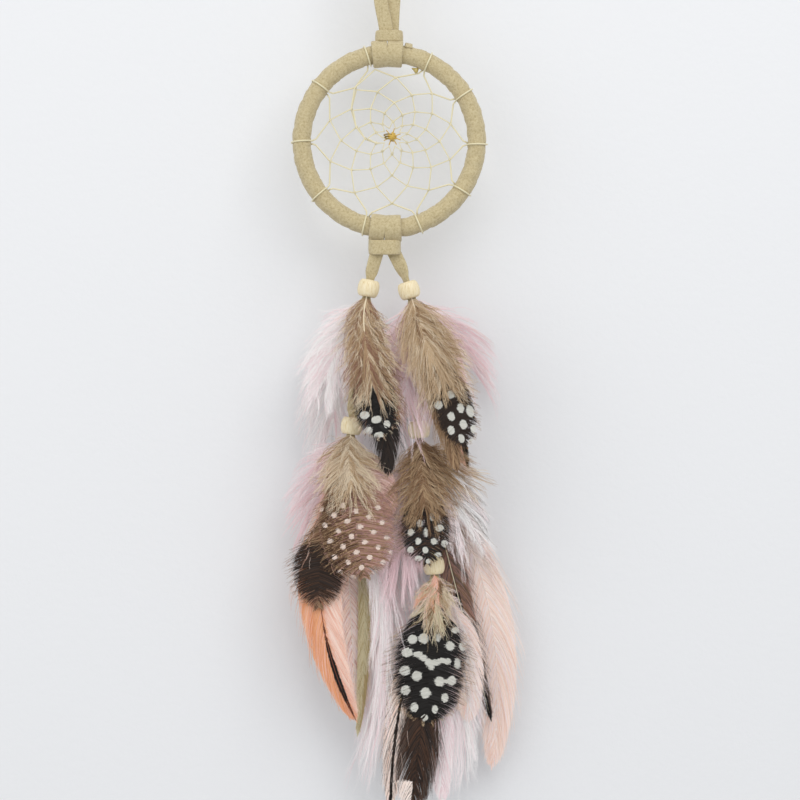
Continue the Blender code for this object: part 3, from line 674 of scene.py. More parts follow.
def feather_colour(name):
    """Keratin, the same for all feathers but for its pigment: satin, with a soft sheen where barbules lie open."""
    if name not in feather_colours:
        hex_code, roughness, sheen = PIGMENTS[name]
        feather_colours[name] = new_material(
            f"feather_{name}", hex_code, roughness, Sheen_Weight=sheen, Sheen_Roughness=0.4, Specular_IOR_Level=0.3
        )[0]
    return feather_colours[name]


class Quill:
    """A feather's centre line: where a point is that lies a distance down it and a distance to its right."""

    def __init__(self, node, middle, tip):
        cluster = "_".join(node.split("_")[:2])
        centre, axis = bead_axis(cluster)
        self.mouth = centre + axis * BEAD_HIGH / 2
        flat = self.mouth * (1, 0, 1)
        way = [flat, flat + axis * 4, HOOP + (middle[0], 0, middle[1]), HOOP + (tip[0], 0, tip[1])]
        _, self.length = smooth_line(way, 60)
        points, _ = smooth_line(way, int(self.length / QUILL_STEP) + 1)
        ends = unit(points[-1] - points[-2])
        beyond = points[-1] + np.outer(np.arange(1, 120) * QUILL_STEP, ends)
        before = points[0] - np.outer(np.arange(4, 0, -1) * QUILL_STEP, axis)
        self.points = np.concatenate([before, points, beyond])
        self.along = (np.arange(len(self.points)) - 4) * QUILL_STEP
        self.down = unit(np.gradient(self.points, axis=0))
        # It goes from its slot in the bead out to its own level, in front of the lace or behind it
        low, high = (corner.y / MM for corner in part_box(node))
        self.level, self.slot = low + 0.15, high - 0.15
        if (low + high) / 2 >= self.mouth[1]:
            self.level, self.slot = self.slot, self.level
        self.spread = SPREAD[cluster]

    def at(self, s, v, lift=0.0):
        """Points s down the quill, v to its right and lifted towards the front, in millimetres."""
        s = np.asarray(s, float)
        x, z, dx, dz = (np.interp(s, self.along, column) for column in
                        (self.points[:, 0], self.points[:, 2], self.down[:, 0], self.down[:, 2]))
        x, z = x - dz * v, z + dx * v
        away = np.hypot(x - self.mouth[0], z - self.mouth[2])
        y = self.slot + (self.level - self.slot) * smoothstep(away / self.spread)
        return np.stack([x, y - lift * np.minimum(1, away / 6), z], axis=-1)


def strips(centres, halves, tilt):
    """Flat strips along rows of centre points, with their half widths: vertices and four-sided faces."""
    along = unit(np.gradient(centres, axis=1) + TINY)
    across = unit(np.cross(along, BACK) + TINY)
    across = unit(across + BACK * tilt[:, None, None])
    corners = np.stack([centres - across * halves[..., None], centres + across * halves[..., None]], axis=2)
    rows, points = centres.shape[:2]
    first = (np.arange(rows)[:, None] * points + np.arange(points - 1)) * 2
    return corners.reshape(-1, 3), np.stack([first, first + 1, first + 3, first + 2], axis=-1).reshape(-1, 4)


def slivers(centres, tones, rng, number, reach, thin=0.06, begin=0.06, fan=0.9):
    """Barbules: single thin triangles standing off the barbs on both sides, in their barb's tone."""
    rows, points = centres.shape[:2]
    share = np.linspace(begin, 0.97, number) + rng.uniform(-0.5, 0.5, (rows, number)) / number
    place = np.clip(share, 0, 0.999) * (points - 1)
    low = place.astype(int)
    part = (place - low)[..., None]
    row = np.arange(rows)[:, None]
    base = centres[row, low] * (1 - part) + centres[row, low + 1] * part
    along = unit(centres[row, low + 1] - centres[row, low] + TINY)
    across = unit(np.cross(along, BACK) + TINY)
    side = np.where(np.arange(number) % 2 == 0, 1.0, -1.0) * np.ones((rows, 1))
    angle = rng.uniform(0.5, 1.1, (rows, number)) * fan
    out = across * (side * np.sin(angle))[..., None] + along * np.cos(angle)[..., None]
    out = out + BACK * rng.normal(0, 0.2, (rows, number))[..., None]
    size = reach * rng.uniform(0.6, 1.25, (rows, number)) * (1 - 0.45 * share)
    tip = base + unit(out) * size[..., None]
    foot = along * (thin / 2)
    corners = np.stack([base - foot, base + foot, tip], axis=2).reshape(-1, 3)
    faces = np.arange(rows * number * 3).reshape(-1, 3)
    return corners, faces, tones[row, np.minimum(low, tones.shape[1] - 1)].ravel()


def quill_shaft(quill, end, thick, tone, lift=0.12, shown=0.0):
    """The quill itself, a six-sided taper rooted in the bead, as vertices, faces and their tone. Its first shown
    millimetres lie open."""
    root = -1.0
    s = np.concatenate([[root], np.linspace(0.5, end, 46)])
    centres = quill.at(s, 0.0, lift + 1.2 * smoothstep((shown - s) / 3 + 0.5))
    radius = np.interp(s, (root, 4, end), (thick * 0.8, thick, 0.05))
    turns = np.arange(6) * math.pi / 3
    across = unit(np.cross(unit(np.gradient(centres, axis=0)), BACK))
    ring = across[:, None] * np.cos(turns)[:, None] + BACK * np.sin(turns)[:, None]
    corners = (centres[:, None] + ring * radius[:, None, None]).reshape(-1, 3)
    start = np.arange(len(s) - 1)[:, None] * 6
    first, after = start + np.arange(6), start + (np.arange(6) + 1) % 6
    faces = np.stack([first, after, after + 6, first + 6], axis=-1).reshape(-1, 4)
    return corners, faces, np.full(len(faces), tone)


def barbs(
    rng, first, last, pitch, side, sweep, reach, width_at, points, bend, wave=0.0, curl=0.0, split=0.0, ragged=0.05,
    tuft=0, tuft_turn=2.0,
):
    """Rows of barbs on one side of a quill: distances down it and out from it, and the lift of each point.
    sweep is how far down the feather a barb ends below its root, and reach the share of the outline that it fills.
    About as many barbs as tuft says share one end, and each tuft's end is turned aside by a random distance."""
    roots = np.arange(first, last, pitch)
    roots = roots + rng.uniform(-0.3, 0.3, len(roots)) * pitch
    part = np.linspace(0, 1, points)
    clumps = sum(np.sin(roots * f + rng.uniform(0, 6)) for f in (0.9, 1.7, 2.9, 4.3)) / 2.2
    drop = np.interp(roots, *zip(*sweep)) if isinstance(sweep, tuple) else np.full(len(roots), float(sweep))
    drop = drop * rng.uniform(1 - ragged, 1 + ragged, len(roots)) + split * clumps
    ends = roots + drop
    out = width_at(ends) * reach * rng.uniform(1 - ragged, 1 + ragged * 0.6, len(roots))
    s = roots[:, None] + drop[:, None] * part**bend
    v = side * out[:, None] * (1 - (1 - part) ** bend)
    mood = rng.uniform(0, 1, len(roots))
    if tuft:
        group = np.cumsum(rng.uniform(0, 1, len(roots)) < 1 / tuft)
        members = np.maximum(np.bincount(group), 1)
        for values in (s, v):
            gather = (np.bincount(group, values[:, -1]) / members)[group] - values[:, -1]
            turned = rng.normal(0, tuft_turn, len(members))[group]
            values += (0.75 * gather + turned)[:, None] * part**1.6
        mood = np.where(rng.uniform(0, 1, len(roots)) < 0.35, mood, rng.uniform(0, 1, len(members))[group])
    if wave:
        turns = 2 * math.pi * rng.uniform(1.0, 2.4, (len(roots), 1)) * part
        v = v + wave * part * np.sin(turns + rng.uniform(0, 6, (len(roots), 1)))
        s = s + wave * part * np.sin(turns + rng.uniform(0, 6, (len(roots), 1)))
    lift = curl * part**2 * rng.normal(0.4, 1.0, (len(roots), 1))
    return s, v, lift, part, mood[:, None]


def make_feather(node, groups, shaft, tones):
    """Joins a quill and its groups of barbs in one mesh, with a material for each tone."""
    corners, faces, picks, start = [], [], [], 0
    for points, polygons, tone in (shaft, *groups):
        corners.append(points)
        faces += (polygons + start).tolist()
        picks.append(tone)
        start += len(points)
    mesh = bpy.data.meshes.new(f"{node}_feather")
    mesh.from_pydata((np.concatenate(corners) * MM).tolist(), [], faces)
    for tone in tones:
        mesh.materials.append(feather_colour(tone))
    mesh.polygons.foreach_set("material_index", np.concatenate(picks).astype(np.int32))
    mesh.update()
    stand_in(in_scene(mesh.name, mesh), node, node)


def add_barbs(groups, quill, rows, tone, rng, wide, tilt, lift=0.0, hairs=0, **barbules):
    """Adds rows of barbs as strips, and hairs barbules on each of them. tone picks each face's tone by its place
    down the quill and to its right, its barb's own random number, and its share of the barb's length."""
    s, v, raised, part, mood = rows
    centres = quill.at(s, v, lift + raised)
    halves = np.broadcast_to(wide / 2 * (1 - part**3) + BARB_TIP, s.shape)
    points, faces = strips(centres, halves, rng.normal(0, tilt, len(s)))
    s, v, part = (s[:, 1:] + s[:, :-1]) / 2, (v[:, 1:] + v[:, :-1]) / 2, (part[1:] + part[:-1]) / 2
    picks = tone(s, v, np.broadcast_to(mood, s.shape), part + 0 * s)
    groups.append((points, faces, picks.ravel()))
    if hairs:
        groups.append(slivers(centres, picks, rng, hairs, **barbules))


def pick(mood, *shares):
    """Turns random numbers from 0 to 1 into tone numbers, by (tone, share) pairs."""
    limits = np.cumsum([share for _, share in shares])
    tones = np.array([tone for tone, _ in shares])
    return tones[np.minimum(np.searchsorted(limits, mood * limits[-1]), len(shares) - 1)]


# Guinea fowl feathers: a taupe downy lower half, then a close dark vane with rows of round white spots and a
# blunt tip with loose barb ends. The down grows longest where it meets the vane and half covers it.
def in_spots(quill, spots, s, v):
    """True where a place is on a spot. Spots are (up from the tip, right of the quill, half height, half width)."""
    hit = np.zeros(s.shape, bool)
    up = quill.length - s
    for high, right, tall, wide in spots:
        hit |= ((up - high) / tall) ** 2 + ((v - right) / wide) ** 2 < 1
    return hit


def guinea(
    node, middle, tip, width, down_share, tones, vane_tone, seed, down_width=None, points=26, fuzz=1.0, shown=0.0,
    shares=(0.34, 0.36, 0.2, 0.1), overhang=12.0, ends=3, shoulder=(0.62, 0.0, 0.45),
):
    """down_share is the down's share of the length, shares its tones' shares, ends the tone of its hair tips, and
    shoulder the vane's width where it begins, where it widens and where it is full."""
    rng = np.random.default_rng(seed)
    quill = Quill(node, middle, tip)
    length = quill.length
    split = length * down_share

    def vane_edge(s):
        share = np.clip((s - split * 0.75) / (length - split * 0.75), 0, 1)
        low, first, full = shoulder
        shape = low + (1 - low) * smoothstep((share - first) / (full - first))
        return width / 2 * shape * np.sqrt(np.clip(1 - np.clip((share - 0.5) / 0.5, 0, 1) ** 2.6, 0.015, 1))

    def down_edge(s):
        share = np.clip(s / split, 0, 1.6)
        taper = 1 - 0.55 * smoothstep((share - 0.8) / 0.7)
        return (down_width or width) / 2 * (0.3 + 0.7 * smoothstep(share / 0.62)) * taper

    def in_vane(s, v, mood, part):
        return vane_tone(quill, s, v, mood, part)

    def at_edge(s, v, mood, part):
        return np.where(part > 0.8, np.where(mood > 0.5, 3, 2), in_vane(s, v, mood, part))

    def in_down(s, v, mood, part):
        return np.where((part > 0.72) & (np.sin(mood * 40) > -0.2), ends, pick(mood, *enumerate(shares)))

    groups = []
    for side in (1, -1):
        sweep = ((split, 5.5), (length - 4, 3.2), (length, 1.0))
        rows = barbs(rng, split * 0.72, length - 0.4, 0.17, side, sweep, 1.0, vane_edge, points, 1.25, split=0.35)
        add_barbs(groups, quill, rows, in_vane, rng, 0.3, 0.3)
        # Loose ends past the vane's edge
        sweep = ((split, 5.5), (length - 4, 4.0), (length, 1.5))
        rows = barbs(rng, split * 0.9, length - 1.0, 0.33, side, sweep, 1.25, vane_edge, 14, 1.2, wave=0.3,
                     curl=0.5, ragged=0.16)
        add_barbs(groups, quill, rows, at_edge, rng, 0.08, 0.5, 0.1, 26, reach=0.7 * fuzz, begin=0.55)
        # Down: a close layer, then tufts over it, then the longest and finest hairs
        for pitch, reach, sweep, wave, curl, tuft, turn, wide, high, hairs in (
            (0.24, 0.82, 0.8, 0.3, 0.4, 0, 0.0, 0.2, 0.0, 36),
            (0.23, 1.0, 1.0, 0.5, 1.0, 6, 1.4, 0.12, 0.5, 52),
            (0.3, 0.45, 1.15, 0.6, 1.0, 5, 1.3, 0.11, 0.9, 56),
            (0.35, 1.12, 1.2, 0.8, 1.8, 4, 2.2, 0.08, 0.8, 44),
        ):
            sweep = ((0, 0.62 * overhang * sweep), (split, overhang * sweep))
            rows = barbs(rng, 0.4, split * 0.93, pitch, side, sweep, reach, down_edge, 16, 1.2, wave=wave,
                         curl=curl, split=0.8, ragged=0.25, tuft=tuft, tuft_turn=turn)
            add_barbs(groups, quill, rows, in_down, rng, wide, 0.35, high, hairs, reach=0.85, fan=0.75)
    make_feather(node, groups, quill_shaft(quill, length - 1.5, 0.28, 6, -0.4, shown), tones)


def dark_vane(spots, ground=(4, 4), speckle=0.0):
    """Tones of a vane with white spots on a dark ground, with fine paler speckles between them."""
    def tone(quill, s, v, mood, part):
        base = pick(mood, (ground[0], 0.75), (ground[1], 0.25))
        if speckle:
            pattern = np.sin(s * 5.1 + 2.2 * np.sin(v * 3.3)) * np.sin(v * 5.7 + 1.7 * np.sin(s * 2.9))
            base = np.where(pattern > 1 - speckle, ground[1], base)
        ring = in_spots(quill, [(a, b, c + 0.45, d + 0.45) for a, b, c, d in spots], s, v)
        base = np.where(ring, ground[0], base)
        return np.where(in_spots(quill, spots, s, v), 5, base)
    return tone


BIG_SPOTS = [
    (29.7, -6.8, 1.6, 1.7), (30.3, -2.7, 1.8, 1.9), (31.2, 2.6, 1.7, 0.8), (28.4, 7.0, 1.8, 1.6),
    (28.7, 11.6, 2.0, 1.3), (34.6, 8.4, 1.2, 1.4), (25.1, -8.4, 1.7, 2.0), (24.6, -4.4, 1.1, 1.8),
    (23.4, -2.2, 1.1, 1.5), (22.0, -0.4, 1.3, 1.4), (20.6, 0.6, 1.5, 1.3), (22.0, 2.2, 1.2, 1.5),
    (22.8, 4.6, 1.0, 1.8), (22.6, 6.4, 1.2, 1.3), (22.0, 10.0, 2.1, 1.1), (18.6, -8.9, 1.8, 2.0),
    (16.8, -4.5, 1.8, 1.8), (15.2, 3.8, 1.8, 1.8), (15.3, 6.2, 0.8, 1.3), (15.6, 8.3, 1.8, 1.5),
    (11.6, -8.4, 1.8, 1.7), (10.8, -1.1, 2.0, 1.8), (9.3, 6.0, 1.7, 1.3), (5.5, -5.0, 1.7, 1.4),
    (4.9, 2.5, 1.5, 1.1), (1.9, -1.2, 1.2, 1.3),
]
guinea(
    "right_low_guinea", (15.0, -184), (14.0, -211.3), 26.0, 0.32,
    ("khaki_pale", "olive_pale", "khaki", "brown", "black", "spot_white", "quill_cream"), dark_vane(BIG_SPOTS), 11,
    down_width=14, points=34, overhang=8, ends=0, shares=(0.25, 0.2, 0.3, 0.25), fuzz=1.5,
)
MID_SPOTS = [
    (21.2, 4.5, 1.4, 0.9), (16.8, 2.5, 1.5, 0.9), (14.7, -1.9, 1.4, 1.0), (11.6, -5.3, 1.3, 1.1),
    (12.6, 5.0, 1.2, 1.6), (11.3, 0.1, 1.9, 0.6), (8.3, -2.8, 1.3, 1.0), (7.9, 2.8, 1.2, 1.0),
    (6.9, 6.6, 1.3, 1.2), (5.4, -5.7, 1.2, 1.2), (5.0, -0.4, 1.2, 1.1), (2.1, -3.2, 1.0, 1.7),
    (3.0, 4.0, 0.9, 1.3), (0.9, 0.6, 0.9, 1.2),
]
guinea(
    "right_mid_guinea", (12.5, -131), (13.7, -153.1), 17.5, 0.58,
    ("khaki", "taupe", "brown", "dark_brown", "black", "spot_white", "quill_dark"),
    dark_vane(MID_SPOTS, (4, 3), 0.12), 12, down_width=23, shares=(0.12, 0.4, 0.33, 0.15), overhang=10, ends=1,
)
RIGHT_SPOTS = [
    (19.3, 0.3, 1.5, 1.4), (17.0, -5.0, 1.5, 1.5), (13.6, 2.2, 1.7, 1.2), (11.7, -1.8, 1.6, 1.3),
    (11.7, 5.2, 2.2, 1.4), (7.8, 1.6, 1.7, 1.3), (6.9, -3.2, 1.6, 1.3), (5.2, 4.8, 1.6, 1.2),
    (3.1, -0.3, 1.6, 1.1), (0.8, 2.8, 1.5, 1.2),
]
guinea(
    "right_top_guinea", (19.0, -84), (26.9, -110.9), 14.0, 0.62,
    ("khaki_pale", "khaki", "taupe", "brown", "seal", "spot_white", "quill_dark"), dark_vane(RIGHT_SPOTS), 13,
    down_width=20, ends=0, overhang=10, shares=(0.18, 0.4, 0.28, 0.14),
)
LEFT_SPOTS = [
    (14.9, -4.6, 1.0, 1.0), (8.9, -4.3, 1.4, 1.7), (6.6, -0.4, 1.3, 1.9), (4.3, 3.0, 1.4, 1.2),
    (3.3, -4.0, 1.3, 1.5), (1.0, -0.6, 1.1, 1.9),
]
guinea(
    "left_top_guinea", (-7.0, -82), (-2.9, -107.6), 15.5, 0.68,
    ("khaki", "taupe", "red_brown", "khaki_pale", "black", "spot_white", "quill_cream"), dark_vane(LEFT_SPOTS), 14,
    down_width=19, shown=14, overhang=11, shares=(0.26, 0.38, 0.24, 0.12),
)

# The wide one in the middle left is paler, with small dots in slanting rows on a speckled pink-brown ground.
SMALL_DOTS = [
    (row * 3.1 - step * 2.6 + 9.6, row * 3.55 + step * 4.45 - 1.2, 0.95, 0.95)
    for row in range(-5, 9) for step in range(-5, 6)
    if -0.5 < row * 3.1 - step * 2.6 + 9.6 < 27 and abs(row * 3.55 + step * 4.45 - 1.2) < 13
]


def speckled_vane(quill, s, v, mood, part):
    mottled = np.sin(s * 6.1 + 2.4 * np.sin(v * 3.1)) * np.sin(v * 5.3 + 1.9 * np.sin(s * 3.3)) > 0.6
    ground = np.where((mood + 0.04 * v < 0.6) & (part < 0.93), pick(mood, (3, 0.36), (7, 0.64)), 4)
    return np.where(in_spots(quill, SMALL_DOTS, s, v), 5, np.where(mottled, 2, ground))


guinea(
    "left_low_guinea", (-13, -130), (-9.0, -158), 27.0, 0.40,
    ("khaki_pale", "khaki", "taupe", "brown", "rose_brown", "spot_cream", "quill_cream", "dark_brown"),
    speckled_vane, 15, down_width=23, ends=0, overhang=10, shares=(0.5, 0.35, 0.1, 0.05),
)


# Its neighbour is a brown hen's feather with a broad dark band across its end.
def banded_vane(quill, s, v, mood, part):
    band = (s > quill.length * 0.64 + 1.6 * np.sin(mood * 9)) & (s < quill.length * 0.93 + 2.5 * np.sin(mood * 7))
    return np.where(band, pick(mood, (4, 0.8), (5, 0.2)), pick(mood, (1, 0.35), (2, 0.35), (5, 0.3)))


guinea(
    "left_low_dark_tipped", (-22.5, -137), (-25.5, -169.5), 21.0, 0.4,
    ("khaki", "taupe", "red_brown", "brown", "seal", "dark_brown", "quill_cream"), banded_vane, 16,
    down_width=9, ends=1, overhang=8, shoulder=(0.2, 0.25, 0.7),
)


# Marabou and body down: a limp quill with long soft barbs that never hook together, so they drift apart into a
# haze. Marabou is turkey down dyed in pinks; the rest is the undyed grey-brown down of guinea fowl and hens.
def soft_feather(
    node, middle, tip, width, shares, seed, pitch=0.4, wave=0.9, curl=2.0, sweep=0.3, hairs=80, reach=1.4,
    thin=0.07, plumes=(),
):
    """shares has each tone's share, and reach and thin are the length and width of its barbules. plumes adds more
    layers of the same feather, by their depth in millimetres and their share of its width."""
    rng = np.random.default_rng(seed)
    quill = Quill(node, middle, tip)
    length = quill.length
    tones = (*shares, next(iter(shares)))

    def edge(s):
        share = np.clip(s / length, 0, 1.1)
        return width / 2 * (0.25 + 0.75 * smoothstep(share / 0.3)) * (1 - 0.7 * smoothstep((share - 0.6) / 0.45))

    def tone(s, v, mood, part):
        return pick(mood, *enumerate(shares.values()))

    groups, shafts = [], []
    for quill.level, share in ((quill.level, 1.0), *plumes):
        for side in (1, -1):
            for layer, (fall, tuft) in enumerate(((0.8, 0), (1, 5))):
                rows = barbs(rng, 0.3, length * (1 - sweep), pitch / share, side, length * sweep * fall,
                             share * (1 - 0.12 * layer), edge, 18, 1.25, wave=wave * (0.6 + 0.5 * layer), curl=curl,
                             split=1.2, ragged=0.3, tuft=tuft, tuft_turn=2.2)
                add_barbs(groups, quill, rows, tone, rng, 0.1, 0.3, 0.5 * layer - 0.2, hairs, reach=reach,
                          thin=thin, fan=0.85)
        shafts.append(quill_shaft(quill, length * (1 - sweep * 0.7), 0.24, len(shares), 0.0))
    make_feather(node, [*groups, *shafts[1:]], shafts[0], tones)


soft_feather("left_top_marabou_long", (-19, -92), (-22.5, -130.5), 25,
             {"white": 0.62, "pale_pink": 0.34, "pink": 0.04}, 21, hairs=80, sweep=0.38)
soft_feather("left_top_marabou_short", (-20.5, -80), (-26.5, -103), 23,
             {"white": 0.5, "pale_pink": 0.38, "pink": 0.12}, 22, pitch=0.32, sweep=0.36,
             plumes=((-6, 0.8),))
soft_feather("right_top_khaki_down", (14.0, -76), (19.5, -97), 20,
             {"khaki_pale": 0.22, "khaki": 0.42, "taupe": 0.25, "brown": 0.11}, 24, pitch=0.24, wave=0.35,
             curl=1.2, sweep=0.42, reach=0.8, hairs=70)
soft_feather("right_top_mauve_marabou", (6.0, -86), (7.5, -114), 24,
             {"mauve": 0.2, "pink": 0.5, "pale_pink": 0.3}, 25, pitch=0.34, wave=0.6, sweep=0.38,
             plumes=((-8, 1.15),))
soft_feather("right_top_pink_marabou", (25, -76), (35.5, -98), 22,
             {"pink": 0.45, "pale_pink": 0.35, "mauve": 0.1, "rose_tan": 0.1}, 26, pitch=0.3, wave=0.5,
             sweep=0.42)
soft_feather("left_low_pink_marabou", (-24, -128), (-31.5, -151), 24,
             {"pink": 0.5, "pale_pink": 0.38, "mauve": 0.12}, 27, pitch=0.3, wave=0.5, sweep=0.4)
soft_feather("left_low_white_marabou", (-2.5, -172), (-10, -236), 20,
             {"white": 0.4, "pale_pink": 0.45, "pink": 0.15}, 28, pitch=0.54, wave=0.8, hairs=80, thin=0.09,
             plumes=((-0.4, 0.36),))
soft_feather("right_mid_brown_down", (22, -120), (34.5, -129.5), 17,
             {"taupe": 0.4, "khaki": 0.3, "brown": 0.2, "khaki_pale": 0.1}, 29, pitch=0.22, wave=0.4,
             curl=1.3, sweep=0.5, reach=0.8, hairs=60)
soft_feather("right_mid_pink_fluff", (22.5, -131), (31, -156), 21,
             {"white": 0.45, "pale_pink": 0.3, "grey": 0.13, "slate": 0.12}, 30, pitch=0.32, wave=0.6,
             sweep=0.38)
soft_feather("right_mid_mauve_marabou", (6, -138), (4.5, -172), 21,
             {"pink": 0.45, "mauve": 0.25, "pale_pink": 0.3}, 31, pitch=0.34, wave=0.5, sweep=0.36,
             plumes=((-4.2, 0.9),))
soft_feather("right_mid_dark_fuzz", (3, -140), (-3.5, -168), 9,
             {"brown": 0.3, "dark_brown": 0.25, "taupe": 0.25, "khaki": 0.2}, 32, wave=0.4, curl=0.8,
             sweep=0.28, reach=0.7)
soft_feather("right_low_orange_tuft", (13.5, -166), (11.1, -172.5), 8,
             {"salmon": 0.5, "peach": 0.3, "orange": 0.2}, 33, pitch=0.2, wave=0.3, curl=0.8, sweep=0.5,
             reach=0.6, hairs=30)
soft_feather("right_low_white_marabou", (24.5, -200), (25.5, -238), 18,
             {"white": 0.62, "pale_pink": 0.34, "pink": 0.04}, 34, pitch=0.45, wave=0.8, sweep=0.32,
             hairs=100)


# Hackles, saddles and slips: long feathers from a cock's neck and back, some dyed. Their barbs lie close and glossy
# in a narrow vane, are soft and loose near the bead, and end in a fringe.
def long_feather(
    node, middle, tip, width, tones, tone, seed, begins=0.1, widest=0.5, blunt=1.8, sweep=9.0, pitch=0.2,
    fluff=None, shaft_tone="quill_pale", shaft=0.3, fringe=0.3, sides=(1.0, 1.0), wide=0.3,
):
    """tone picks a tone by the share of the length, the place beside the quill, the barb's own random number and
    the share of the barb. begins and widest are shares of the length, and fluff is a down's width, share of the
    length and tones."""
    rng = np.random.default_rng(seed)
    quill = Quill(node, middle, tip)
    length = quill.length

    def edge(s):
        share = s / length
        taper = np.sqrt(np.clip(1 - np.clip((share - widest) / (1 - widest), 0, 1) ** blunt, 0.0, 1))
        return width / 2 * (0.12 + 0.88 * smoothstep((share - begins) / (widest - begins))) * taper

    def fluff_edge(s):
        return np.full(len(s), fluff[0] / 2) * smoothstep(s / 14 + 0.25)

    def in_vane(s, v, mood, part):
        return tone(s / length, v, mood, part)

    def in_fluff(s, v, mood, part):
        return pick(mood, *fluff[2])

    groups = []
    for side, reach in zip((1, -1), sides):
        fall = ((0, sweep), (length - 1.3 * sweep, sweep), (length, 0.6))
        rows = barbs(rng, length * begins, length - 0.4, pitch, side, fall, reach, edge, 22, 1.25, split=0.45,
                     ragged=0.04)
        add_barbs(groups, quill, rows, in_vane, rng, wide, 0.3)
        fall = ((0, sweep * 1.15), (length - 1.4 * sweep, sweep * 1.15), (length, 1.0))
        rows = barbs(rng, length * begins, length - 2, 0.8, side, fall, reach * (1 + fringe), edge, 16, 1.2,
                     wave=0.3, curl=0.6, ragged=0.2)
        add_barbs(groups, quill, rows, in_vane, rng, 0.1, 0.5, 0.1, 30, reach=0.55, begin=0.5)
        if fluff:
            rows = barbs(rng, 0.5, length * fluff[1], 0.3, side, length * 0.12, 1.0, fluff_edge, 16, 1.2, wave=0.6,
                         curl=1.4, split=0.8, ragged=0.3)
            add_barbs(groups, quill, rows, in_fluff, rng, 0.12, 0.6, 0.2, 60, reach=1.0, thin=0.07)
    make_feather(node, groups, quill_shaft(quill, length - 2.5, shaft, len(tones)), (*tones, shaft_tone))


def mixed(*shares):
    """A tone rule that only mixes the tones by their shares."""
    return lambda u, v, mood, part: pick(mood, *enumerate(shares))


long_feather(
    "left_top_brown_down", (-3.2, -88), (-0.4, -121), 11, ("taupe", "red_brown", "brown", "seal", "black"),
    lambda u, v, mood, part: np.where(
        u > 0.7, pick(mood, (3, 0.6), (4, 0.4)), pick(mood, (0, 0.4), (1, 0.3), (2, 0.3))),
    23, begins=0.15, widest=0.72, blunt=1.2, sweep=10, fluff=(15, 0.62, ((0, 0.45), (1, 0.35), (2, 0.2))),
    shaft_tone="seal", fringe=0.5,
)


# Orange on its outer side, paler on its inner side, with a black streak along the end of the quill
def streaked(u, v, mood, part):
    streak = (u > 0.64) & (np.abs(v) < np.clip((u - 0.62) * 5, 0, 1) * np.clip((1.0 - u) * 9, 0, 1))
    sides = np.where(v - 2 * mood > 0, pick(mood, (2, 0.35), (5, 0.65)), pick(mood, (0, 0.6), (1, 0.12), (2, 0.28)))
    return np.where(streak, np.where(part > 0.5, 4, 3), sides)


long_feather(
    "left_low_orange_hackle", (-25.0, -165), (-12.0, -210), 16,
    ("orange", "deep_orange", "salmon", "black", "rust", "peach"), streaked, 41, begins=0.12, widest=0.55,
    blunt=1.15, sweep=19, fluff=(12, 0.35, ((5, 0.6), (2, 0.4))), shaft_tone="rust",
)
long_feather(
    "left_low_pale_saddle", (-14.5, -165), (-11.5, -209.5), 19, ("peach_pale", "rose_tan", "pale_pink", "peach"),
    lambda u, v, mood, part: np.where(part > 0.9, 0, pick(mood, (0, 0.36), (1, 0.22), (2, 0.24), (3, 0.18))),
    42, sweep=19, fluff=(14, 0.45, ((0, 0.5), (2, 0.5))), widest=0.55,
)
long_feather(
    "left_low_olive_slip", (-9.2, -165), (-11.6, -216.4), 4.6, ("olive", "olive_pale", "khaki"),
    lambda u, v, mood, part: np.where(
        v * np.where(u > 0.8, 1, 0.4) > 0.6, pick(mood, (0, 0.7), (2, 0.3)), pick(mood, (1, 0.7), (0, 0.3))),
    43, begins=0.3, widest=0.6, blunt=2.2, shaft=0.2, shaft_tone="olive_pale", fringe=0.1,
)
long_feather(
    "left_low_pink_blade", (-6.8, -119), (-0.2, -136), 12, ("rose_tan", "rose_brown", "pink", "salmon"),
    lambda u, v, mood, part: np.where(
        u < 0.75, pick(mood, (0, 0.72), (1, 0.2), (2, 0.08)), pick(mood, (1, 0.55), (0, 0.3), (3, 0.15))),
    44, begins=0.02, widest=0.6, blunt=2.0, sweep=6.5, pitch=0.13, shaft=0.18, shaft_tone="rose_tan",
    fringe=0.12, wide=0.34,
)
long_feather(
    "right_top_brown_blade", (17.5, -90), (24.3, -119.6), 10, ("brown", "dark_brown", "taupe", "khaki"),
    mixed(0.35, 0.2, 0.45), 45, widest=0.6, blunt=1.3, sweep=12, fringe=0.8, shaft=0.2, shaft_tone="taupe",
    fluff=(9, 0.5, ((0, 0.3), (2, 0.7))),
)
long_feather(
    "right_top_rooster_blade", (19.5, -90), (28.2, -121.5), 6.5, ("salmon", "rose_tan", "black", "seal"),
    lambda u, v, mood, part: np.where(v > 0.9, pick(mood, (2, 0.7), (3, 0.3)), pick(mood, (0, 0.5), (1, 0.5))),
    46, begins=0.3, widest=0.75, blunt=2.4, sweep=8, shaft=0.25, shaft_tone="quill_cream", fringe=0.1,
)


# Brown and slate, with a black streak along the quill that widens to the whole of its narrow end
def black_tailed(u, v, mood, part):
    ground = np.where(u < 0.66, pick(mood, (0, 0.35), (1, 0.35), (2, 0.3)), pick(mood, (4, 0.6), (1, 0.4)))
    return np.where(np.abs(v) < np.where(u > 0.55, 0.75, 0.3), 3, ground)


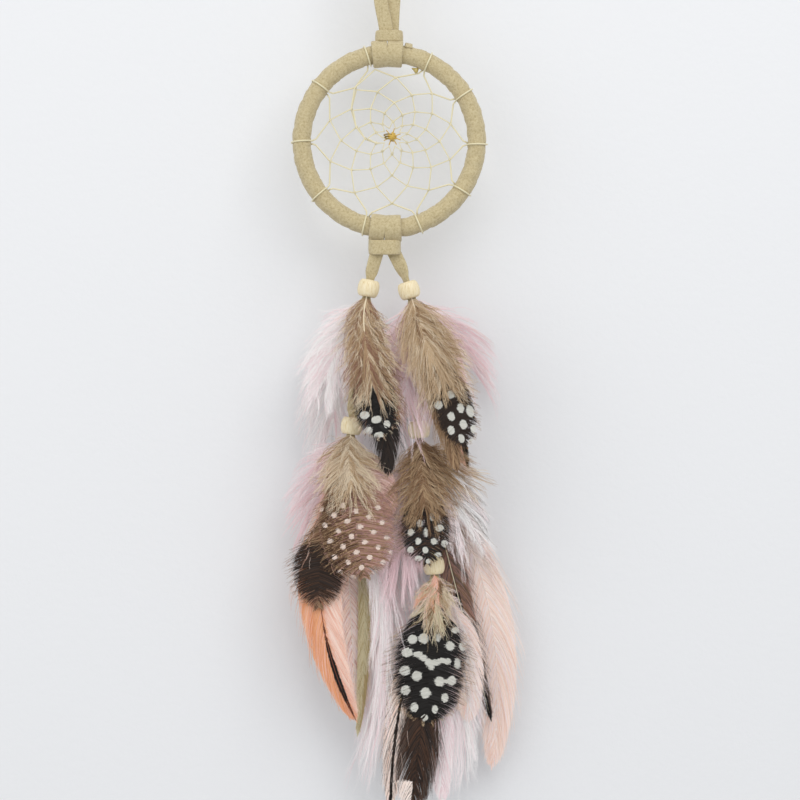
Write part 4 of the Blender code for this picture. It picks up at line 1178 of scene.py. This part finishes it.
long_feather(
    "right_mid_curved_blade", (21.0, -150), (37.2, -211), 13,
    ("brown", "slate", "rose_brown", "black", "dark_brown"), black_tailed, 47, begins=0.15, widest=0.42,
    blunt=0.62, sweep=12, shaft=0.32, shaft_tone="quill_cream", fringe=0.5, sides=(1.0, 0.8),
)
long_feather(
    "right_mid_peach_saddle", (33.5, -158), (37.6, -229.5), 16, ("peach_pale", "peach", "salmon", "pale_pink"),
    lambda u, v, mood, part: pick(mood + 0.2 * u, (0, 0.62), (3, 0.2), (1, 0.38)), 48, widest=0.6, blunt=1.7,
    sweep=22, pitch=0.26, fluff=(13, 0.4, ((0, 0.7), (3, 0.3))), shaft_tone="peach_pale", shaft=0.24,
)
long_feather(
    "right_low_peach_saddle", (25.5, -183), (29.0, -211.5), 15, ("peach_pale", "peach", "pale_pink"),
    mixed(0.45, 0.35, 0.2), 49, sweep=17, fluff=(12, 0.5, ((0, 0.6), (2, 0.4))), shaft_tone="peach_pale",
)
long_feather(
    "right_low_pink_saddle", (17.5, -205), (19.5, -240.5), 13, ("pale_pink", "pink", "white"),
    mixed(0.5, 0.25, 0.25), 50, sweep=17, fluff=(10, 0.4, ((0, 0.7), (2, 0.3))), shaft_tone="pale_pink",
)
long_feather(
    "right_low_striped_saddle", (4.0, -205), (0.5, -241.5), 10, ("peach_pale", "slate", "peach", "black"),
    lambda u, v, mood, part: np.where(
        (np.abs(v) < 0.5) & (u > 0.4), 3, pick(mood, (0, 0.52), (2, 0.24), (1, 0.24))),
    51, sweep=17, shaft_tone="quill_dark", shaft=0.2, pitch=0.3,
)


# Nearly black, with paler barb ends and a pale corner at the left of its tip
def pale_cornered(u, v, mood, part):
    inner, outer = pick(mood, (0, 0.5), (1, 0.35), (4, 0.15)), pick(mood, (1, 0.4), (0, 0.3), (2, 0.3))
    corner = (v < -0.6) & (u > 0.88)
    return np.where(corner, pick(mood, (3, 0.8), (1, 0.2)), np.where(part < 0.55, inner, outer))


long_feather(
    "right_low_dark_hackle", (12.5, -205), (8.0, -243), 15, ("seal", "dark_brown", "slate", "peach_pale", "black"),
    pale_cornered, 52, begins=0.3, widest=0.8, blunt=2.0, sweep=18, pitch=0.26, shaft=0.26, shaft_tone="quill_dark",
)
